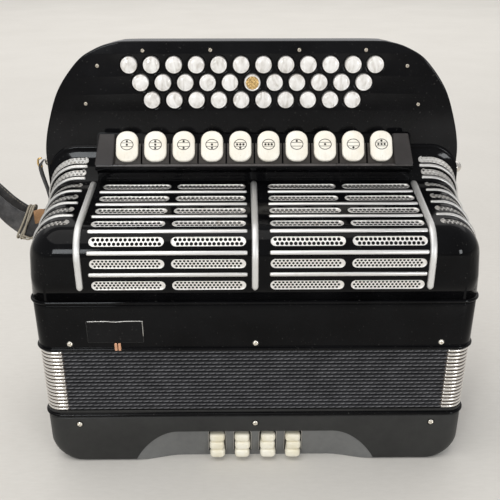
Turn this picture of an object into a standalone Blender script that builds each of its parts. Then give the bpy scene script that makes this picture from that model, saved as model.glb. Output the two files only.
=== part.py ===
"""Button accordion standing on its bass end.

Local axes: X along the instrument's width, Y from the grille front towards
the player's chest, Z from the bass end up to the treble buttons. All the
dimensions below are in millimetres and are turned into metres by MM.
"""
import bpy
import bmesh
import math
from mathutils import Matrix, Vector

MM = 0.001

# ---------------------------------------------------------------- dimensions
HALF_W = 183.0          # half width of the cases
DEPTH = 176.0           # grille front to back of the cases
CORNER_R = 14.0         # plan radius of the case corners
BASS_H = 53.2           # bass case height
BASS_EDGE_R = 22.0      # radius between bass case sides and end
BELLOWS_Z0 = 53.5
BELLOWS_Z1 = 117.7
FOLDS = 17
TREBLE_Z0 = 118.0
TREBLE_Z1 = 164.7       # top of the treble case band
WALL = 6.0
GAP = 0.3
COVER_T = 3.0           # wall of the grille cover
COVER_Z0 = 165.0
FRONT_H = 200.0         # the cover's front is flat up to here
FRONT_R = 24.0          # then turns through 80 degrees on this radius
TOP_SLOPE = math.radians(10.0)
TOP_END_Y = 82.0        # front of the register housing
SHOULDER_R = 28.0       # radius from the cover's top to its sides
SIDE_R = 16.0           # radius from the cover's front to its sides
SLOT_PITCH = 19.5       # grille slots, along the surface
SLOT_FIRST = 177.3
BOARD_Y = 104.3         # front face of the fingerboard
BOARD_T = 5.0
BOARD_Z0 = 166.0
BODY_BACK_Y = 146.0     # back of the keyboard housing
BUTTON_PITCH = 19.0
BUTTON_R = 7.15
BUTTON_HOLE_R = 7.7
BUTTON_PROUD = 4.2
ROWS = ((335.7, 12), (320.8, 11), (305.9, 10))
TAB_PITCH = 24.2
TAB_W = 19.2
TAB_L = 29.6
TAB_T = 4.0
TAB_LOW = (79.6, 256.6)     # Y, Z of the tabs' lower front edge
TAB_TILT = math.atan2(25.0, 16.0)
HOUSING_HALF = 137.6
BASS_COL_X = (-34.2, -11.4, 11.4, 34.2)
BASS_CAP_W = 14.0
BASS_CAP_H = 8.0
BASS_TIER = 8.4
BASS_CAP_Z = 10.4           # centre of the lowest tier
SCOOP_DEPTH = 7.5          # at the floor
SCOOP_TOP = 3.0            # at the top of the scoop

# the frame's origin is on the floor under the middle of the whole outline
SHIFT = Vector((26.8, -86.5, 0.0)) * MM

# --------------------------------------------------------------- scene set-up
for ob in list(bpy.data.objects):
    bpy.data.objects.remove(ob, do_unlink=True)


def collection(name):
    col = bpy.data.collections.get(name) or bpy.data.collections.new(name)
    if col.name not in bpy.context.scene.collection.children:
        bpy.context.scene.collection.children.link(col)
    return col


PARTS = collection("button_accordion")
CUTTERS = collection("cutters")
CUTTERS.hide_render = True

ORIGIN = bpy.data.objects.new("frame_origin", None)
PARTS.objects.link(ORIGIN)
ORIGIN.location = SHIFT


def material(name, color, roughness, metallic=0.0, coat=0.0):
    mat = bpy.data.materials.get(name)
    if mat:
        return mat
    mat = bpy.data.materials.new(name)
    mat.use_nodes = True
    bsdf = mat.node_tree.nodes["Principled BSDF"]
    bsdf.inputs["Base Color"].default_value = (*color, 1.0)
    bsdf.inputs["Roughness"].default_value = roughness
    bsdf.inputs["Metallic"].default_value = metallic
    bsdf.inputs["Coat Weight"].default_value = coat
    return mat


def link(ob, mat=None, cutter=False, smooth=None):
    (CUTTERS if cutter else PARTS).objects.link(ob)
    ob.parent = ORIGIN
    if cutter:
        ob.hide_render = True
        ob.display_type = "WIRE"
    if mat is not None:
        ob.data.materials.clear()
        ob.data.materials.append(mat)
    if smooth is not None:
        ob.data.shade_smooth()
        ob.data.set_sharp_from_angle(angle=math.radians(smooth))
    return ob


def mesh_object(name, bm, mat=None, cutter=False, smooth=None, origin=None):
    """Turns a bmesh in local millimetres into an object in metres."""
    bmesh.ops.recalc_face_normals(bm, faces=bm.faces)
    centre = Vector(origin) if origin is not None else Vector((0, 0, 0))
    for v in bm.verts:
        v.co = (v.co - centre) * MM
    me = bpy.data.meshes.new(name)
    bm.to_mesh(me)
    bm.free()
    ob = bpy.data.objects.new(name, me)
    ob.location = centre * MM
    return link(ob, mat, cutter, smooth)


def cube(bm, lo, hi):
    """Adds a box from corner lo to corner hi."""
    geo = bmesh.ops.create_cube(bm, size=1.0)
    size = Vector(hi) - Vector(lo)
    mid = (Vector(hi) + Vector(lo)) / 2
    bmesh.ops.scale(bm, vec=size, verts=geo["verts"])
    bmesh.ops.translate(bm, vec=mid, verts=geo["verts"])
    return geo["verts"]


def box_object(name, lo, hi, mat=None, cutter=False, bevel=0.0, segments=2):
    bm = bmesh.new()
    cube(bm, lo, hi)
    mid = (Vector(hi) + Vector(lo)) / 2
    ob = mesh_object(name, bm, mat, cutter, origin=mid)
    if bevel:
        mod = ob.modifiers.new("edges", "BEVEL")
        mod.width = bevel * MM
        mod.segments = segments
    return ob


def rounded_rect(half_x, y0, y1, r, z, seg=4):
    """One ring of a rounded rectangle in plan, counter-clockwise from +X."""
    pts = []
    corners = ((half_x - r, y1 - r, 0), (-half_x + r, y1 - r, 90),
               (-half_x + r, y0 + r, 180), (half_x - r, y0 + r, 270))
    for cx, cy, a0 in corners:
        for k in range(seg + 1):
            a = math.radians(a0 + 90.0 * k / seg)
            pts.append(Vector((cx + r * math.cos(a), cy + r * math.sin(a), z)))
    return pts


def loft(bm, rings, closed=False):
    """Skins rings that have the same number of points, and caps the ends."""
    rows = [[bm.verts.new(p) for p in ring] for ring in rings]
    n = len(rows[0])
    pairs = list(zip(rows, rows[1:]))
    if closed:
        pairs.append((rows[-1], rows[0]))
    for a, b in pairs:
        for i in range(n):
            j = (i + 1) % n
            bm.faces.new((a[i], a[j], b[j], b[i]))
    if not closed:
        bm.faces.new(list(reversed(rows[0])))
        bm.faces.new(rows[-1])


def prism(bm, outline, axis, lo, hi):
    """Closed prism: outline of (a, b) pairs extruded along X or Y."""
    def at(p, t):
        return Vector((t, p[0], p[1])) if axis == "X" else Vector((p[0], t, p[1]))
    loft(bm, [[at(p, lo) for p in outline], [at(p, hi) for p in outline]])


def cut(ob, cutter, operation="DIFFERENCE"):
    mod = ob.modifiers.new(cutter.name, "BOOLEAN")
    mod.operation = operation
    mod.object = cutter
    mod.solver = "EXACT"
    return mod


def stadium(w, h, seg=3):
    """Slot outline with round ends, w long and h high, about its centre."""
    r = h / 2
    pts = []
    for side, a0 in ((1, -90), (-1, 90)):
        for k in range(seg + 1):
            a = math.radians(a0 + 180.0 * k / seg)
            pts.append((side * (w / 2 - r) + r * math.cos(a), r * math.sin(a)))
    return pts


# ------------------------------------------------------------------ materials
BLACK = material("black_celluloid", (0.012, 0.012, 0.013), 0.12, coat=0.6)
SATIN = material("satin_charcoal", (0.03, 0.03, 0.032), 0.42)
CLOTH = material("bellows_cloth", (0.02, 0.02, 0.021), 0.7)
PEARL = material("pearl_cap", (0.80, 0.79, 0.76), 0.25)
IVORY = material("ivory_tab", (0.87, 0.84, 0.77), 0.3)
CREAM = material("cream_cap", (0.80, 0.77, 0.66), 0.35)
GREY = material("matte_grey", (0.05, 0.05, 0.05), 0.6)
WOOD = material("spruce", (0.62, 0.45, 0.27), 0.6)
LEATHER = material("dark_leather", (0.06, 0.035, 0.02), 0.6)
NICKEL = material("nickel", (0.72, 0.70, 0.66), 0.25, 1.0)

# ------------------------------------------------------------------ bass case
bm = bmesh.new()
rings = []
for k in range(7):
    a = math.radians(90.0 * k / 6)
    z = BASS_EDGE_R * (1 - math.cos(a))
    inset = BASS_EDGE_R * (1 - math.sin(a))
    lip = 1.6 * max(0.0, 1 - z / 1.6)
    rings.append(rounded_rect(HALF_W - inset, lip, DEPTH - lip, CORNER_R, z))
rings.append(rounded_rect(HALF_W, 0, DEPTH, CORNER_R, BASS_H))
loft(bm, rings)
bass_case = mesh_object("bass_case", bm, SATIN, smooth=40)

# inside: reed space open to the bellows, the end recess, the button pocket
bm = bmesh.new()
loft(bm, [rounded_rect(HALF_W - WALL, 16, DEPTH - WALL, CORNER_R - WALL, 20.4),
          rounded_rect(HALF_W - WALL, 16, DEPTH - WALL, CORNER_R - WALL, 60)])
cut(bass_case, mesh_object("cut_bass_reed_space", bm, cutter=True))
cut(bass_case, box_object("cut_bass_end", (-148, 36, -5), (148, 165, 25), cutter=True))
cut(bass_case, box_object("cut_bass_pocket", (-46, 15, 4), (46, 30, 25), cutter=True))

# the scoop in the front that the bass buttons stand in
scoop = [(104, -4)]
for k in range(7):
    a = math.radians(90.0 * k / 6)
    scoop.append((78 + 26 * math.cos(a), 4 + 28 * math.sin(a)))
for k in range(7):
    a = math.radians(90 + 90.0 * k / 6)
    scoop.append((-78 + 26 * math.cos(a), 4 + 28 * math.sin(a)))
scoop.append((-104, -4))
bm = bmesh.new()
loft(bm, [[Vector((px, -3, pz)) for px, pz in scoop],
          [Vector((px, SCOOP_TOP + (SCOOP_DEPTH - SCOOP_TOP) * (32 - pz) / 32.0, pz)) for px, pz in scoop]])
cut(bass_case, mesh_object("cut_scoop", bm, cutter=True))
for i, x in enumerate(BASS_COL_X):
    cut(bass_case, box_object("cut_bass_slot_%d" % i, (x - 7.6, -2, 5.6),
                              (x + 7.6, 18, 31.5), cutter=True))

# plate that closes the bass end, with a flange that sits inside the case
bass_end_cover = box_object("bass_end_cover", (-147.7, 36.3, 14), (147.7, 164.7, 21.5), GREY)
bm = bmesh.new()
cube(bm, (-153, 32, 20.7), (153, 168, 24))
cut(bass_end_cover, mesh_object("join_flange", bm, cutter=True), "UNION")

# hand strap across the end recess, its ends against the end plate
path = [(-140, 11.9), (-122, 11.9), (-104, 4.2), (104, 4.2), (122, 11.9), (140, 11.9)]
bm = bmesh.new()
low = [bm.verts.new((x, 70, z)) for x, z in path]
high = [bm.verts.new((x, 132, z)) for x, z in path]
for i in range(len(path) - 1):
    bm.faces.new((low[i], low[i + 1], high[i + 1], high[i]))
hand_strap = mesh_object("hand_strap", bm, LEATHER)
mod = hand_strap.modifiers.new("thickness", "SOLIDIFY")
mod.thickness = 3.0 * MM
mod.offset = 0.0
mod.use_even_offset = True

# bass buttons: three caps of a column share one hidden carrier
for i, x in enumerate(BASS_COL_X):
    bm = bmesh.new()
    cube(bm, (x - BASS_CAP_W / 2 + 1, 16.5, 8.0), (x + BASS_CAP_W / 2 - 1, 19.5, 29.6))
    col = mesh_object("bass_button_column_%d" % (i + 1), bm, CREAM, origin=(x, 9, 18))
    for k in range(3):
        z = BASS_CAP_Z + BASS_TIER * k
        cap = box_object("join_cap_%d_%d" % (i, k),
                         (x - BASS_CAP_W / 2, -3.0 + 1.2 * k, z - BASS_CAP_H / 2),
                         (x + BASS_CAP_W / 2, 17.5, z + BASS_CAP_H / 2), cutter=True)
        cut(col, cap, "UNION")

# air button under the end plate
bm = bmesh.new()
geo = bmesh.ops.create_cone(bm, cap_ends=True, segments=16, radius1=8, radius2=8, depth=1.0)
bmesh.ops.scale(bm, vec=(1, 1, 25.0), verts=geo["verts"])
bmesh.ops.translate(bm, vec=(150 - 22, 58, 5.0 + 12.5), verts=geo["verts"])
air_button = mesh_object("air_button", bm, IVORY, smooth=40, origin=(128, 58, 5))
bm = bmesh.new()
geo = bmesh.ops.create_cone(bm, cap_ends=True, segments=16, radius1=8.6, radius2=8.6, depth=40)
bmesh.ops.translate(bm, vec=(128, 58, 18), verts=geo["verts"])
cut(bass_end_cover, mesh_object("cut_air_hole", bm, cutter=True))

# -------------------------------------------------------------------- bellows
bm = bmesh.new()
rings = []
steps = FOLDS * 2
for k in range(steps + 1):
    z = BELLOWS_Z0 + (BELLOWS_Z1 - BELLOWS_Z0) * k / steps
    d = 3.2 if k % 2 == 0 else 0.6
    rings.append(rounded_rect(HALF_W - 0.5 - d, 0.5 + d, DEPTH - 0.5 - d, CORNER_R - 1, z, 2))
for z in (BELLOWS_Z1, BELLOWS_Z0):
    rings.append(rounded_rect(HALF_W - 20, 20, DEPTH - 20, 4, z, 2))
loft(bm, rings, closed=True)
bellows = mesh_object("bellows", bm, CLOTH)

# ---------------------------------------------------------------- treble case
bm = bmesh.new()
loft(bm, [rounded_rect(HALF_W, 0, DEPTH, CORNER_R, TREBLE_Z0),
          rounded_rect(HALF_W, 0, DEPTH, CORNER_R, TREBLE_Z1)])
treble_case = mesh_object("treble_case", bm, BLACK, smooth=40)
bm = bmesh.new()
loft(bm, [rounded_rect(HALF_W - WALL, WALL, DEPTH - WALL, CORNER_R - WALL, TREBLE_Z0 - 5),
          rounded_rect(HALF_W - WALL, WALL, DEPTH - WALL, CORNER_R - WALL, TREBLE_Z1 - 5)])
cut(treble_case, mesh_object("cut_treble_inside", bm, cutter=True))
for i in range(11):
    x = (i - 5) * 27.0
    cut(treble_case, box_object("cut_pallet_hole_%d" % i, (x - 8, 48, 150), (x + 8, 78, 170), cutter=True))

# treble reed block on the underside of the pallet board
treble_reed_block = box_object("treble_reed_block", (-152, 44, 122), (152, 82, 159.4), WOOD)
for i in range(11):
    x = (i - 5) * 27.0
    cut(treble_reed_block, box_object("cut_reed_cell_%d" % i, (x - 8, 48, 127), (x + 8, 78, 170), cutter=True))


# --------------------------------------------------------------- grille cover
def cover_profile(inset=0.0):
    """(y, z, weight towards the front, weight towards the top) up the cover."""
    r = FRONT_R - inset
    foot_z = COVER_Z0 - (10.0 if inset else 0.0)
    pts = [(inset, foot_z, 1.0, 0.0), (inset, FRONT_H, 1.0, 0.0)]
    end = math.radians(80.0)
    for k in range(1, 7):
        a = end * k / 6
        pts.append((FRONT_R - r * math.cos(a), FRONT_H + r * math.sin(a), math.cos(a), math.sin(a)))
    y, z = pts[-1][0], pts[-1][1]
    pts.append((TOP_END_Y, z + (TOP_END_Y - y) * math.tan(TOP_SLOPE), 0.0, 1.0))
    # the rise to the fingerboard at both ends of the register housing
    y, z = pts[-1][0], pts[-1][1]
    for k in range(1, 6):
        a = math.radians(90.0 * k / 5)
        pts.append((y + (BOARD_Y - GAP - y) * math.sin(a) ** 0.9 + inset * 0.4 * math.sin(a),
                    z + 31.0 * (1 - math.cos(a)) ** 0.8, 0.0, 1.0))
    if inset:
        pts.append((BOARD_Y + 8.0, pts[-1][1] + 0.1, 0.0, 1.0))
    return pts


def cover_stations(inset=0.0):
    r = SHOULDER_R - inset
    xs = [HALF_W - SHOULDER_R + r * math.sin(math.radians(90.0 * k / 6)) for k in range(7)]
    return [-x for x in reversed(xs)] + xs


def cover_point(x, p, inset=0.0):
    y, z, front, top = p
    r = SHOULDER_R - inset
    u = min(1.0, max(0.0, abs(x) - (HALF_W - SHOULDER_R)) / r)
    drop = r * (1 - math.sqrt(1 - u * u))
    r = SIDE_R - inset
    v = min(1.0, max(0.0, abs(x) - (HALF_W - SIDE_R)) / r)
    back = r * (1 - math.sqrt(1 - v * v))
    return Vector((x, y + back * front, z - drop * top))


def cover_body(name, inset=0.0, cutter=False):
    bm = bmesh.new()
    profile = cover_profile(inset)
    back_y = profile[-1][0]
    rings = []
    for x in cover_stations(inset):
        ring = [cover_point(x, p, inset) for p in profile]
        ring.append(Vector((x, back_y, profile[0][1])))
        rings.append(ring)
    loft(bm, rings)
    return mesh_object(name, bm, None if cutter else BLACK, cutter, None if cutter else 40)


grille_cover = cover_body("grille_cover")
cut(grille_cover, cover_body("cut_cover_inside", COVER_T, True))
cut(grille_cover, box_object("cut_housing_seat", (-HOUSING_HALF - 0.6, TOP_END_Y - 0.1, 215),
                             (HOUSING_HALF + 0.6, BOARD_Y + 5, 300), cutter=True))


def surface_at(arc):
    """(y, z, tilt) at a distance along the front and top of the cover."""
    bend = FRONT_R * math.radians(80.0)
    if arc <= FRONT_H:
        return 0.0, arc, 0.0
    if arc <= FRONT_H + bend:
        a = (arc - FRONT_H) / FRONT_R
        return FRONT_R * (1 - math.cos(a)), FRONT_H + FRONT_R * math.sin(a), a
    a = math.radians(80.0)
    t = arc - FRONT_H - bend
    return (FRONT_R * (1 - math.cos(a)) + t * math.cos(TOP_SLOPE),
            FRONT_H + FRONT_R * math.sin(a) + t * math.sin(TOP_SLOPE), a)


for row in range(7):
    y, z, tilt = surface_at(SLOT_FIRST + SLOT_PITCH * row)
    turn = Matrix.Translation((0, y, z)) @ Matrix.Rotation(-tilt, 4, "X")
    bm = bmesh.new()
    for x in (-102.3, -37.4, 41.6, 106.6):
        w = 59.6
        part = bmesh.new()
        prism(part, [(x + px, pz) for px, pz in stadium(w, 7.8)], "Y", -8, 8)
        tmp = bpy.data.meshes.new("slot")
        part.to_mesh(tmp)
        part.free()
        bm.from_mesh(tmp)
        bpy.data.meshes.remove(tmp)
    bmesh.ops.transform(bm, matrix=turn, verts=bm.verts)
    cut(grille_cover, mesh_object("cut_grille_row_%d" % row, bm, cutter=True))

# ---------------------------------------------------------------- fingerboard
EDGE = ((183.4, 166.0), (183.4, 205.0), (183.4, 242.0), (182.0, 264.0), (175.5, 288.0),
        (164.5, 314.5), (147.5, 337.5), (133.0, 347.6), (117.0, 353.0), (96.0, 354.4), (0.0, 354.4))


def smooth_edge(inset=0.0, floor=None, per=3):
    """Right half of the board outline, bottom to top, through EDGE."""
    pts = []
    key = [Vector(p) for p in EDGE]
    for i in range(len(key) - 1):
        p0, p1, p2 = key[max(i - 1, 0)], key[i], key[i + 1]
        p3 = key[min(i + 2, len(key) - 1)]
        straight = i < 1 or i >= len(key) - 2
        count = 1 if straight else per
        for k in range(count):
            t = k / count
            if straight:
                pts.append(p1.lerp(p2, t))
            else:
                pts.append(0.5 * ((2 * p1) + (p2 - p0) * t + (2 * p0 - 5 * p1 + 4 * p2 - p3) * t * t
                                  + (3 * p1 - p0 - 3 * p2 + p3) * t ** 3))
    if inset:
        moved = []
        for i, p in enumerate(pts):
            a = pts[max(i - 1, 0)]
            b = pts[min(i + 1, len(pts) - 1)]
            d = (b - a).normalized()
            n = Vector((-d.y, d.x))
            moved.append(p + n * inset)
        pts = moved
    if floor is not None:
        pts[0] = Vector((pts[0].x, floor))
    return pts


def board_outline(inset=0.0, floor=BOARD_Z0):
    right = smooth_edge(inset, floor)
    return [(p.x, p.y) for p in right] + [(-p.x, p.y) for p in reversed(right)]


def flat_curve(name, outlines, thickness):
    """Filled 2D curve with holes, made a mesh; its plane is local XY."""
    cu = bpy.data.curves.new(name, "CURVE")
    cu.dimensions = "2D"
    cu.fill_mode = "BOTH"
    cu.extrude = thickness / 2 * MM
    for pts in outlines:
        sp = cu.splines.new("POLY")
        sp.points.add(len(pts) - 1)
        for q, (a, b) in zip(sp.points, pts):
            q.co = (a * MM, b * MM, 0, 1)
        sp.use_cyclic_u = True
    tmp = bpy.data.objects.new(name + "_outline", cu)
    PARTS.objects.link(tmp)
    dg = bpy.context.evaluated_depsgraph_get()
    me = bpy.data.meshes.new_from_object(tmp.evaluated_get(dg))
    bm = bmesh.new()
    bm.from_mesh(me)
    bmesh.ops.remove_doubles(bm, verts=bm.verts, dist=0.00001)
    bpy.data.meshes.remove(me)
    bpy.data.objects.remove(tmp, do_unlink=True)
    bmesh.ops.scale(bm, vec=(1 / MM, 1 / MM, 1 / MM), verts=bm.verts)
    return bm


def circle(x, z, r, seg=12):
    return [(x + r * math.cos(2 * math.pi * (k + 0.5) / seg), z + r * math.sin(2 * math.pi * (k + 0.5) / seg))
            for k in range(seg)]


button_places = [((i - (n - 1) / 2) * BUTTON_PITCH, z) for z, n in ROWS for i in range(n)]
bm = flat_curve("fingerboard", [board_outline()] + [circle(x, z, BUTTON_HOLE_R) for x, z in button_places], BOARD_T)
stand = Matrix.Translation((0, BOARD_Y + BOARD_T / 2, 0)) @ Matrix.Rotation(math.radians(90), 4, "X")
bmesh.ops.transform(bm, matrix=stand, verts=bm.verts)
mesh_object("fingerboard", bm, BLACK)

# ------------------------------------------------- keyboard housing behind it
bm = bmesh.new()
levels = [(BOARD_Y + BOARD_T + GAP, 2.5)]
for k in range(4):
    a = math.radians(90.0 * k / 3)
    levels.append((BODY_BACK_Y - 8 + 8 * math.sin(a), 2.5 + 8 * (1 - math.cos(a))))
loft(bm, [[Vector((px, y, pz)) for px, pz in board_outline(inset, COVER_Z0)] for y, inset in levels])
keyboard_housing = mesh_object("keyboard_housing", bm, BLACK, smooth=40)
bm = bmesh.new()
prism(bm, board_outline(7.5, COVER_Z0 + 5), "Y", BOARD_Y, BODY_BACK_Y - 9)
cut(keyboard_housing, mesh_object("cut_keyboard_space", bm, cutter=True))

# -------------------------------------------------------------------- buttons
cap = bmesh.new()
rings = []
for y, r in ((14.0, BUTTON_R), (-BUTTON_PROUD + 1.3, BUTTON_R), (-BUTTON_PROUD + 0.35, BUTTON_R - 0.55),
             (-BUTTON_PROUD, BUTTON_R - 1.9)):
    rings.append([Vector((px, y, pz)) for px, pz in circle(0, 0, r)])
loft(cap, rings)
bmesh.ops.recalc_face_normals(cap, faces=cap.faces)
bmesh.ops.scale(cap, vec=(MM, MM, MM), verts=cap.verts)
cap_mesh = bpy.data.meshes.new("treble_cap")
cap.to_mesh(cap_mesh)
cap.free()
cap_mesh.materials.append(PEARL)
for i, (x, z) in enumerate(button_places):
    ob = bpy.data.objects.new("treble_button_%02d" % (i + 1), cap_mesh)
    ob.location = Vector((x, BOARD_Y, z)) * MM
    link(ob)

# ------------------------------------------------------------------ registers
lean = Vector((0.0, math.cos(TAB_TILT), math.sin(TAB_TILT)))     # up along the tabs
out = Vector((0.0, -math.sin(TAB_TILT), math.cos(TAB_TILT)))     # out of the tabs' faces
foot = Vector((0.0, TAB_LOW[0], TAB_LOW[1]))

bm = bmesh.new()
base = foot - out * (TAB_T + 3.0)
top = base + lean * (TAB_L - 2.0)
prism(bm, [(TOP_END_Y + 0.2, 222), (BOARD_Y - GAP, 222), (BOARD_Y - GAP, top.z),
           (top.y, top.z), (base.y, base.z), (foot.y + 0.6, 254.6), (foot.y + 0.6, 249.2),
           (TOP_END_Y + 0.2, 248.6)], "X", -HOUSING_HALF, HOUSING_HALF)
register_housing = mesh_object("register_housing", bm, BLACK)
for side in (-1, 1):
    bm = bmesh.new()
    a, b = foot + lean * -2.0, foot + lean * (TAB_L - 4.0)
    ring0 = [Vector((side * HOUSING_HALF, p.y, p.z)) for p in (a, a - out * 9)]
    ring0 += [Vector((side * 124.4, p.y, p.z)) for p in (a - out * 9, a)]
    ring1 = [Vector((side * (HOUSING_HALF - 3.4), p.y, p.z)) for p in (b, b - out * 8)]
    ring1 += [Vector((side * 121.6, p.y, p.z)) for p in (b - out * 8, b)]
    loft(bm, [ring0, ring1])
    cut(register_housing, mesh_object("join_end_block_%d" % (side + 1), bm, cutter=True), "UNION")

tab_outline = []
for k in range(9):
    a = math.radians(180.0 * k / 8)
    tab_outline.append((TAB_W / 2 * math.cos(a), TAB_L - 8.2 + 8.2 * math.sin(a)))
for k in range(5):
    a = math.radians(180 + 90.0 * k / 4)
    tab_outline.append((-TAB_W / 2 + 5.5 + 5.5 * math.cos(a), 5.5 + 5.5 * math.sin(a)))
for k in range(5):
    a = math.radians(270 + 90.0 * k / 4)
    tab_outline.append((TAB_W / 2 - 5.5 + 5.5 * math.cos(a), 5.5 + 5.5 * math.sin(a)))
bm = bmesh.new()
pivot = foot + lean * (TAB_L * 0.5) - out * TAB_T
rings = []
for depth, shrink in ((0.0, 0.95), (0.8, 1.0), (TAB_T, 1.0)):
    rings.append([foot + Vector((u * shrink, 0, 0)) + lean * ((v - TAB_L / 2) * shrink + TAB_L / 2) - out * depth
                  for u, v in tab_outline])
loft(bm, rings)
bmesh.ops.recalc_face_normals(bm, faces=bm.faces)
for v in bm.verts:
    v.co = (v.co - pivot) * MM
tab_mesh = bpy.data.meshes.new("register_tab")
bm.to_mesh(tab_mesh)
bm.free()
tab_mesh.materials.append(IVORY)
for i in range(10):
    ob = bpy.data.objects.new("register_tab_%02d" % (i + 1), tab_mesh)
    ob.location = (pivot + Vector(((i - 4.5) * TAB_PITCH, 0, 0))) * MM
    link(ob)

# --------------------------------------------------------------------- straps
bm = bmesh.new()
geo = bmesh.ops.create_cone(bm, cap_ends=True, segments=16, radius1=5.6, radius2=4.6, depth=8.0)
bmesh.ops.rotate(bm, matrix=Matrix.Rotation(math.radians(90), 3, "Y"), verts=geo["verts"])
bmesh.ops.translate(bm, vec=(185.4, 120, 239), verts=geo["verts"])
strap_bracket = mesh_object("strap_bracket_right", bm, NICKEL, smooth=40, origin=(185.4, 120, 239))

# the strap leaves the side of the case, turns back on itself and returns
ROUTE = ((-185.2, 98.6, 196), (-196, 98, 193), (-208, 97, 192), (-220, 97, 200), (-231, 98, 211),
         (-238, 100, 221), (-241.5, 104, 227), (-240, 108.6, 226), (-232, 111, 216), (-220, 112.4, 202),
         (-208, 113, 192), (-196, 113, 185), (-185.2, 113, 180))
STRAP_HALF = 13.0
bm = bmesh.new()
low = [bm.verts.new((x, y, z - STRAP_HALF)) for x, y, z in ROUTE]
high = [bm.verts.new((x, y, z + STRAP_HALF)) for x, y, z in ROUTE]
for i in range(len(ROUTE) - 1):
    bm.faces.new((low[i], low[i + 1], high[i + 1], high[i]))
shoulder_strap = mesh_object("shoulder_strap", bm, LEATHER)
mod = shoulder_strap.modifiers.new("thickness", "SOLIDIFY")
mod.thickness = 2.4 * MM
mod.offset = 0.0
mod.use_even_offset = True

bpy.context.view_layer.update()
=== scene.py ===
"""Looks of the button accordion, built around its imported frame.

Local millimetres are used throughout: X along the width from the middle, Y from
the grille's front plane to the back, Z up from the floor. W() turns them into
the frame's metres.
"""

import math

import bmesh
import bpy
from mathutils import Matrix, Vector
from mathutils.bvhtree import BVHTree


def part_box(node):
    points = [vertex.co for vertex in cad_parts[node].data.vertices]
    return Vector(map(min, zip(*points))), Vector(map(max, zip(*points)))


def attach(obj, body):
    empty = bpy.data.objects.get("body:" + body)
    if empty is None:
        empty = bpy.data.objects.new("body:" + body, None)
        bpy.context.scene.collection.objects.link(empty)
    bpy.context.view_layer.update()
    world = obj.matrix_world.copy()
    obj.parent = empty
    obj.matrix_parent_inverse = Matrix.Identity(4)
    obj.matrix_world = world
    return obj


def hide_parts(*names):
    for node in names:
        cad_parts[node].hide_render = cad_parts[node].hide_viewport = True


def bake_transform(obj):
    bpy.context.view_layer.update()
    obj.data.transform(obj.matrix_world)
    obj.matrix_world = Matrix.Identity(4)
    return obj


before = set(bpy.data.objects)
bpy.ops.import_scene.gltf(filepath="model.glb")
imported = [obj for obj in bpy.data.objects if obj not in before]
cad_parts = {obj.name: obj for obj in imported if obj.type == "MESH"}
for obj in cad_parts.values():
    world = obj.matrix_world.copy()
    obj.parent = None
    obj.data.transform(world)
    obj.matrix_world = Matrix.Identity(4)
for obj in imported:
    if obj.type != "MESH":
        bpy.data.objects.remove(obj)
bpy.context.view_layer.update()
scene = bpy.context.scene
MM = 0.001

lo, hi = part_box("bass_case")
OX = (lo[0] + hi[0]) / 2
lo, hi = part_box("treble_case")
OY = lo[1]
TREBLE, BASS = "treble_side", "bass_side"

# the design's own sizes, as in the frame
HALF_W, DEPTH, CORNER_R = 184.4, 176.0, 14.0
CASE_X = 1.5                       # the cases' middle stands this far right of the buttons' middle
BASS_H, BASS_EDGE_R = 53.2, 22.0
TREBLE_Z0, TREBLE_Z1, COVER_Z0 = 118.0, 164.7, 165.0
COVER_T = 3.0
FRONT_H, FRONT_R, TOP_SLOPE, TOP_END_Y = 200.0, 24.0, math.radians(10.0), 82.0
SHOULDER_R = 28.0
BOARD_Y, BOARD_T, BOARD_Z0, BODY_BACK_Y, GAP = 104.3, 5.0, 166.0, 146.0, 0.3
BUTTON_PITCH, BUTTON_R, BUTTON_HOLE_R, BUTTON_PROUD = 19.0, 7.15, 7.7, 4.2
ROWS = ((335.0, 12, 1.0), (320.1, 11, 1.005), (305.2, 10, 1.011))
TAB_PITCH, TAB_W, TAB_L, TAB_T = 24.5, 19.2, 29.6, 4.0
TAB_LOW = (79.6, 256.6)
TAB_TILT = math.atan2(25.0, 16.0)
HOUSING_HALF = 137.6
BASS_COL_X = (-34.2, -11.4, 11.4, 34.2)
BASS_CAP_W, BASS_CAP_H, BASS_TIER, BASS_CAP_Z = 14.0, 8.0, 7.7, 8.5


def W(p):
    return Vector((OX + p[0] * MM, OY + p[1] * MM, p[2] * MM))


# ============================================================== mesh helpers
def add(name, bm, mats, body=TREBLE, smooth=40.0, replaces=(), normals=None, dx=CASE_X):
    """Links a bmesh in local millimetres as a piece that rides on a body."""
    bmesh.ops.recalc_face_normals(bm, faces=bm.faces)
    for v in bm.verts:
        v.co = W((v.co.x + dx, v.co.y, v.co.z))
    me = bpy.data.meshes.new(name)
    bm.to_mesh(me)
    bm.free()
    ob = bpy.data.objects.new(name, me)
    scene.collection.objects.link(ob)
    for m in (mats if isinstance(mats, (list, tuple)) else [mats]):
        me.materials.append(m)
    if smooth is not None:
        me.shade_smooth()
        me.set_sharp_from_angle(angle=math.radians(smooth))
    if normals is not None:
        borrow_normals(me, normals)
    if body:
        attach(ob, body)
    if replaces:
        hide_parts(*replaces)
    return ob


def loft(bm, rings, closed=False, index=0, uvs=None):
    """Skins rings that have the same number of points, and caps the ends."""
    rows = [[bm.verts.new(p) for p in ring] for ring in rings]
    n = len(rows[0])
    pairs = list(zip(range(len(rows)), range(1, len(rows))))
    if closed:
        pairs.append((len(rows) - 1, 0))
    layer = bm.loops.layers.uv.verify() if uvs else None
    for a, b in pairs:
        for i in range(n):
            j = (i + 1) % n
            f = bm.faces.new((rows[a][i], rows[a][j], rows[b][j], rows[b][i]))
            f.material_index = index
            if layer:
                for lp, (r, c) in zip(f.loops, ((a, i), (a, i + 1), (b, i + 1), (b, i))):
                    lp[layer].uv = uvs(r, c)
    if not closed:
        for f in (bm.faces.new(list(reversed(rows[0]))), bm.faces.new(rows[-1])):
            f.material_index = index
    return rows


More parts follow.
